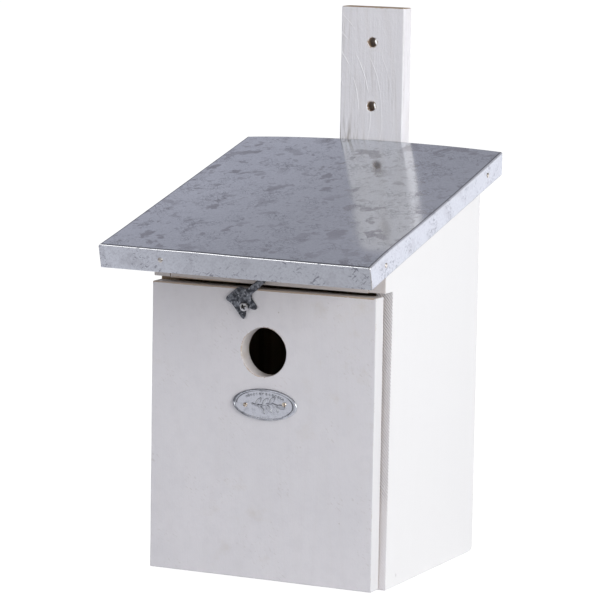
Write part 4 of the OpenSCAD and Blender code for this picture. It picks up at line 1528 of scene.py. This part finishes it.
# %% The catch's screw
SCREW_LOW, SCREW_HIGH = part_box("catch_screw")
PAN_RADIUS = (SCREW_HIGH.x - SCREW_LOW.x) / 2
PAN_HEIGHT = 1.8 * MM
PAN_DOME = 0.35 * MM
PAN_SHANK = 1.5 * MM
PAN_ROUND = 0.5 * MM
brim = PAN_HEIGHT - PAN_DOME
pan_rings = [(PAN_RADIUS - PAN_ROUND * (1 - math.sin(a)), brim - PAN_ROUND * (1 - math.cos(a)))
             for a in (math.radians(angle) for angle in (30, 60, 90))]
pan_rings += [(PAN_RADIUS, 0.0), (PAN_SHANK, 0.0), (PAN_SHANK, -9.0 * MM)]
bm = bmesh.new()
cross_screw(bm, PAN_RADIUS - PAN_ROUND, PAN_DOME, 1.1 * MM, math.radians(28),
            [(size, height - brim) for size, height in pan_rings])
screw_place = Vector(((SCREW_LOW.x + SCREW_HIGH.x) / 2, SCREW_LOW.y + PAN_DOME, (SCREW_LOW.z + SCREW_HIGH.z) / 2))
bm.transform(facing(screw_place, (0, -1, 0)))
fitting("pan_screw", bm, BRIGHT_STEEL, "front_door", "bright_steel", "catch_screw", crisp=35)

# %% The countersunk screws of the batten
SINK = 0.25 * MM
COUNTERSUNK = [(3.5 * MM, 0.0), (3.45 * MM, -0.25 * MM), (1.75 * MM, -2.4 * MM), (1.75 * MM, -19.0 * MM)]
for number, (node, z) in enumerate(zip(SCREW_NODES, SCREW_HEIGHTS)):
    bm = bmesh.new()
    cross_screw(bm, SCREW_HEAD / 2 - 0.25 * MM, 0.0, 1.5 * MM, math.radians(20 + 37 * number), COUNTERSUNK)
    bm.transform(facing((BATTEN_X, BATTEN_HIGH.y - SINK, z), (0, 1, 0)))
    fitting("slotted_" + node, bm, BRIGHT_STEEL, "box", "bright_steel", node, crisp=35)

# %% The screws of the hinges
LEAF_SCREW = [(1.75 * MM, -0.05 * MM), (1.0 * MM, -0.85 * MM), (1.0 * MM, -9.0 * MM)]
LEAF_SINK = 0.05 * MM
for node in ("low_hinge_box_screws", "high_hinge_box_screws", "low_hinge_door_screws", "high_hinge_door_screws"):
    low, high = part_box(node)
    on_box = "box_screws" in node
    face_y = low.y + LEAF_SINK if on_box else high.y - LEAF_SINK
    bm = bmesh.new()
    for spin, z in ((15, low.z + 1.8 * MM), (62, high.z - 1.8 * MM)):
        part = bmesh.new()
        cross_screw(part, 1.6 * MM, 0.0, 0.5 * MM, math.radians(spin), LEAF_SCREW)
        part.transform(facing(((low.x + high.x) / 2, face_y, z), (0, -1 if on_box else 1, 0)))
        single = bpy.data.meshes.new("single_screw")
        part.to_mesh(single)
        part.free()
        bm.from_mesh(single)
        bpy.data.meshes.remove(single)
    fitting("slotted_" + node, bm, HINGE_STEEL, "box" if on_box else "front_door", "bright_steel", node, crisp=35)

# %% [markdown]
# ## The catch and the hinges
#
# Their construction is right in the frame, but a sawn or stamped edge is never razor sharp. A copy of
# the frame's mesh is merged, its flat faces are joined again, and its sharp edges get a small bevel.
# The copy keeps its place, and the frame's own piece is hidden behind it.

# %% Softened copies
def softened(name, node, width, body, slot, finish, sharp=35, segments=2):
    bm = bmesh.new()
    bm.from_mesh(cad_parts[node].data)
    bmesh.ops.remove_doubles(bm, verts=bm.verts[:], dist=2e-6)
    bmesh.ops.dissolve_limit(bm, angle_limit=math.radians(1), verts=bm.verts[:], edges=bm.edges[:])
    edges = [edge for edge in bm.edges
             if len(edge.link_faces) == 2 and edge.calc_face_angle(0.0) > math.radians(sharp)]
    rounded = bmesh.ops.bevel(bm, geom=edges, offset=width, offset_type="OFFSET", segments=segments,
                              profile=0.5, affect="EDGES", material=-1, clamp_overlap=True)["faces"]
    layer = bm.verts.layers.float.new("edge")
    for face in rounded:
        for vert in face.verts:
            vert[layer] = 1.0
    bmesh.ops.triangulate(bm, faces=[face for face in bm.faces if len(face.verts) > 4])
    fitting(name, bm, finish, body, slot, node, crisp=30)


softened("stamped_catch", "turn_catch", 0.28 * MM, "catch", "galvanised_fitting", MOTTLED_ZINC, sharp=60, segments=3)
for height in ("low", "high"):
    softened(height + "_box_leaf", height + "_hinge_box_leaf", 0.12 * MM, "box", "bright_steel", HINGE_STEEL)
    softened(height + "_door_leaf", height + "_hinge_door_leaf", 0.12 * MM, "front_door", "bright_steel",
             HINGE_STEEL)
    softened(height + "_pin", height + "_hinge_pin", 0.25 * MM, "box", "bright_steel", HINGE_STEEL)

# %% [markdown]
# ## What stays from the frame
#
# Only the two floor nails are left as they are. They were driven flush and painted over with the
# boards, so they take a spot of the same paint, a little yellowed by the steel under it.

# %% The floor nails
def painted_nail(name):
    finish, tree = new_finish(name)
    colour, relief, rings, fibres = paint_layer(tree, "Z", 6.1, 0.3, 0.3)
    stain = cloud(tree, object_place(tree), 800.0, 3.0)
    colour = tint(tree, ramp(tree, stain, 0.3, 0.8, 0.15, 0.55), colour, RESIN)
    close_finish(tree, colour, 0.6, bumped(tree, relief, 0.10 * MM))
    return finish


PAINTED_NAIL = painted_nail("painted_nail")
for node in ("floor_nail_left", "floor_nail_right"):
    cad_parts[node].data.materials.clear()
    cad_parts[node].data.materials.append(PAINTED_NAIL)
still_shown = [name for name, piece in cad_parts.items() if not piece.hide_render]
print("still shown from the frame:", still_shown)
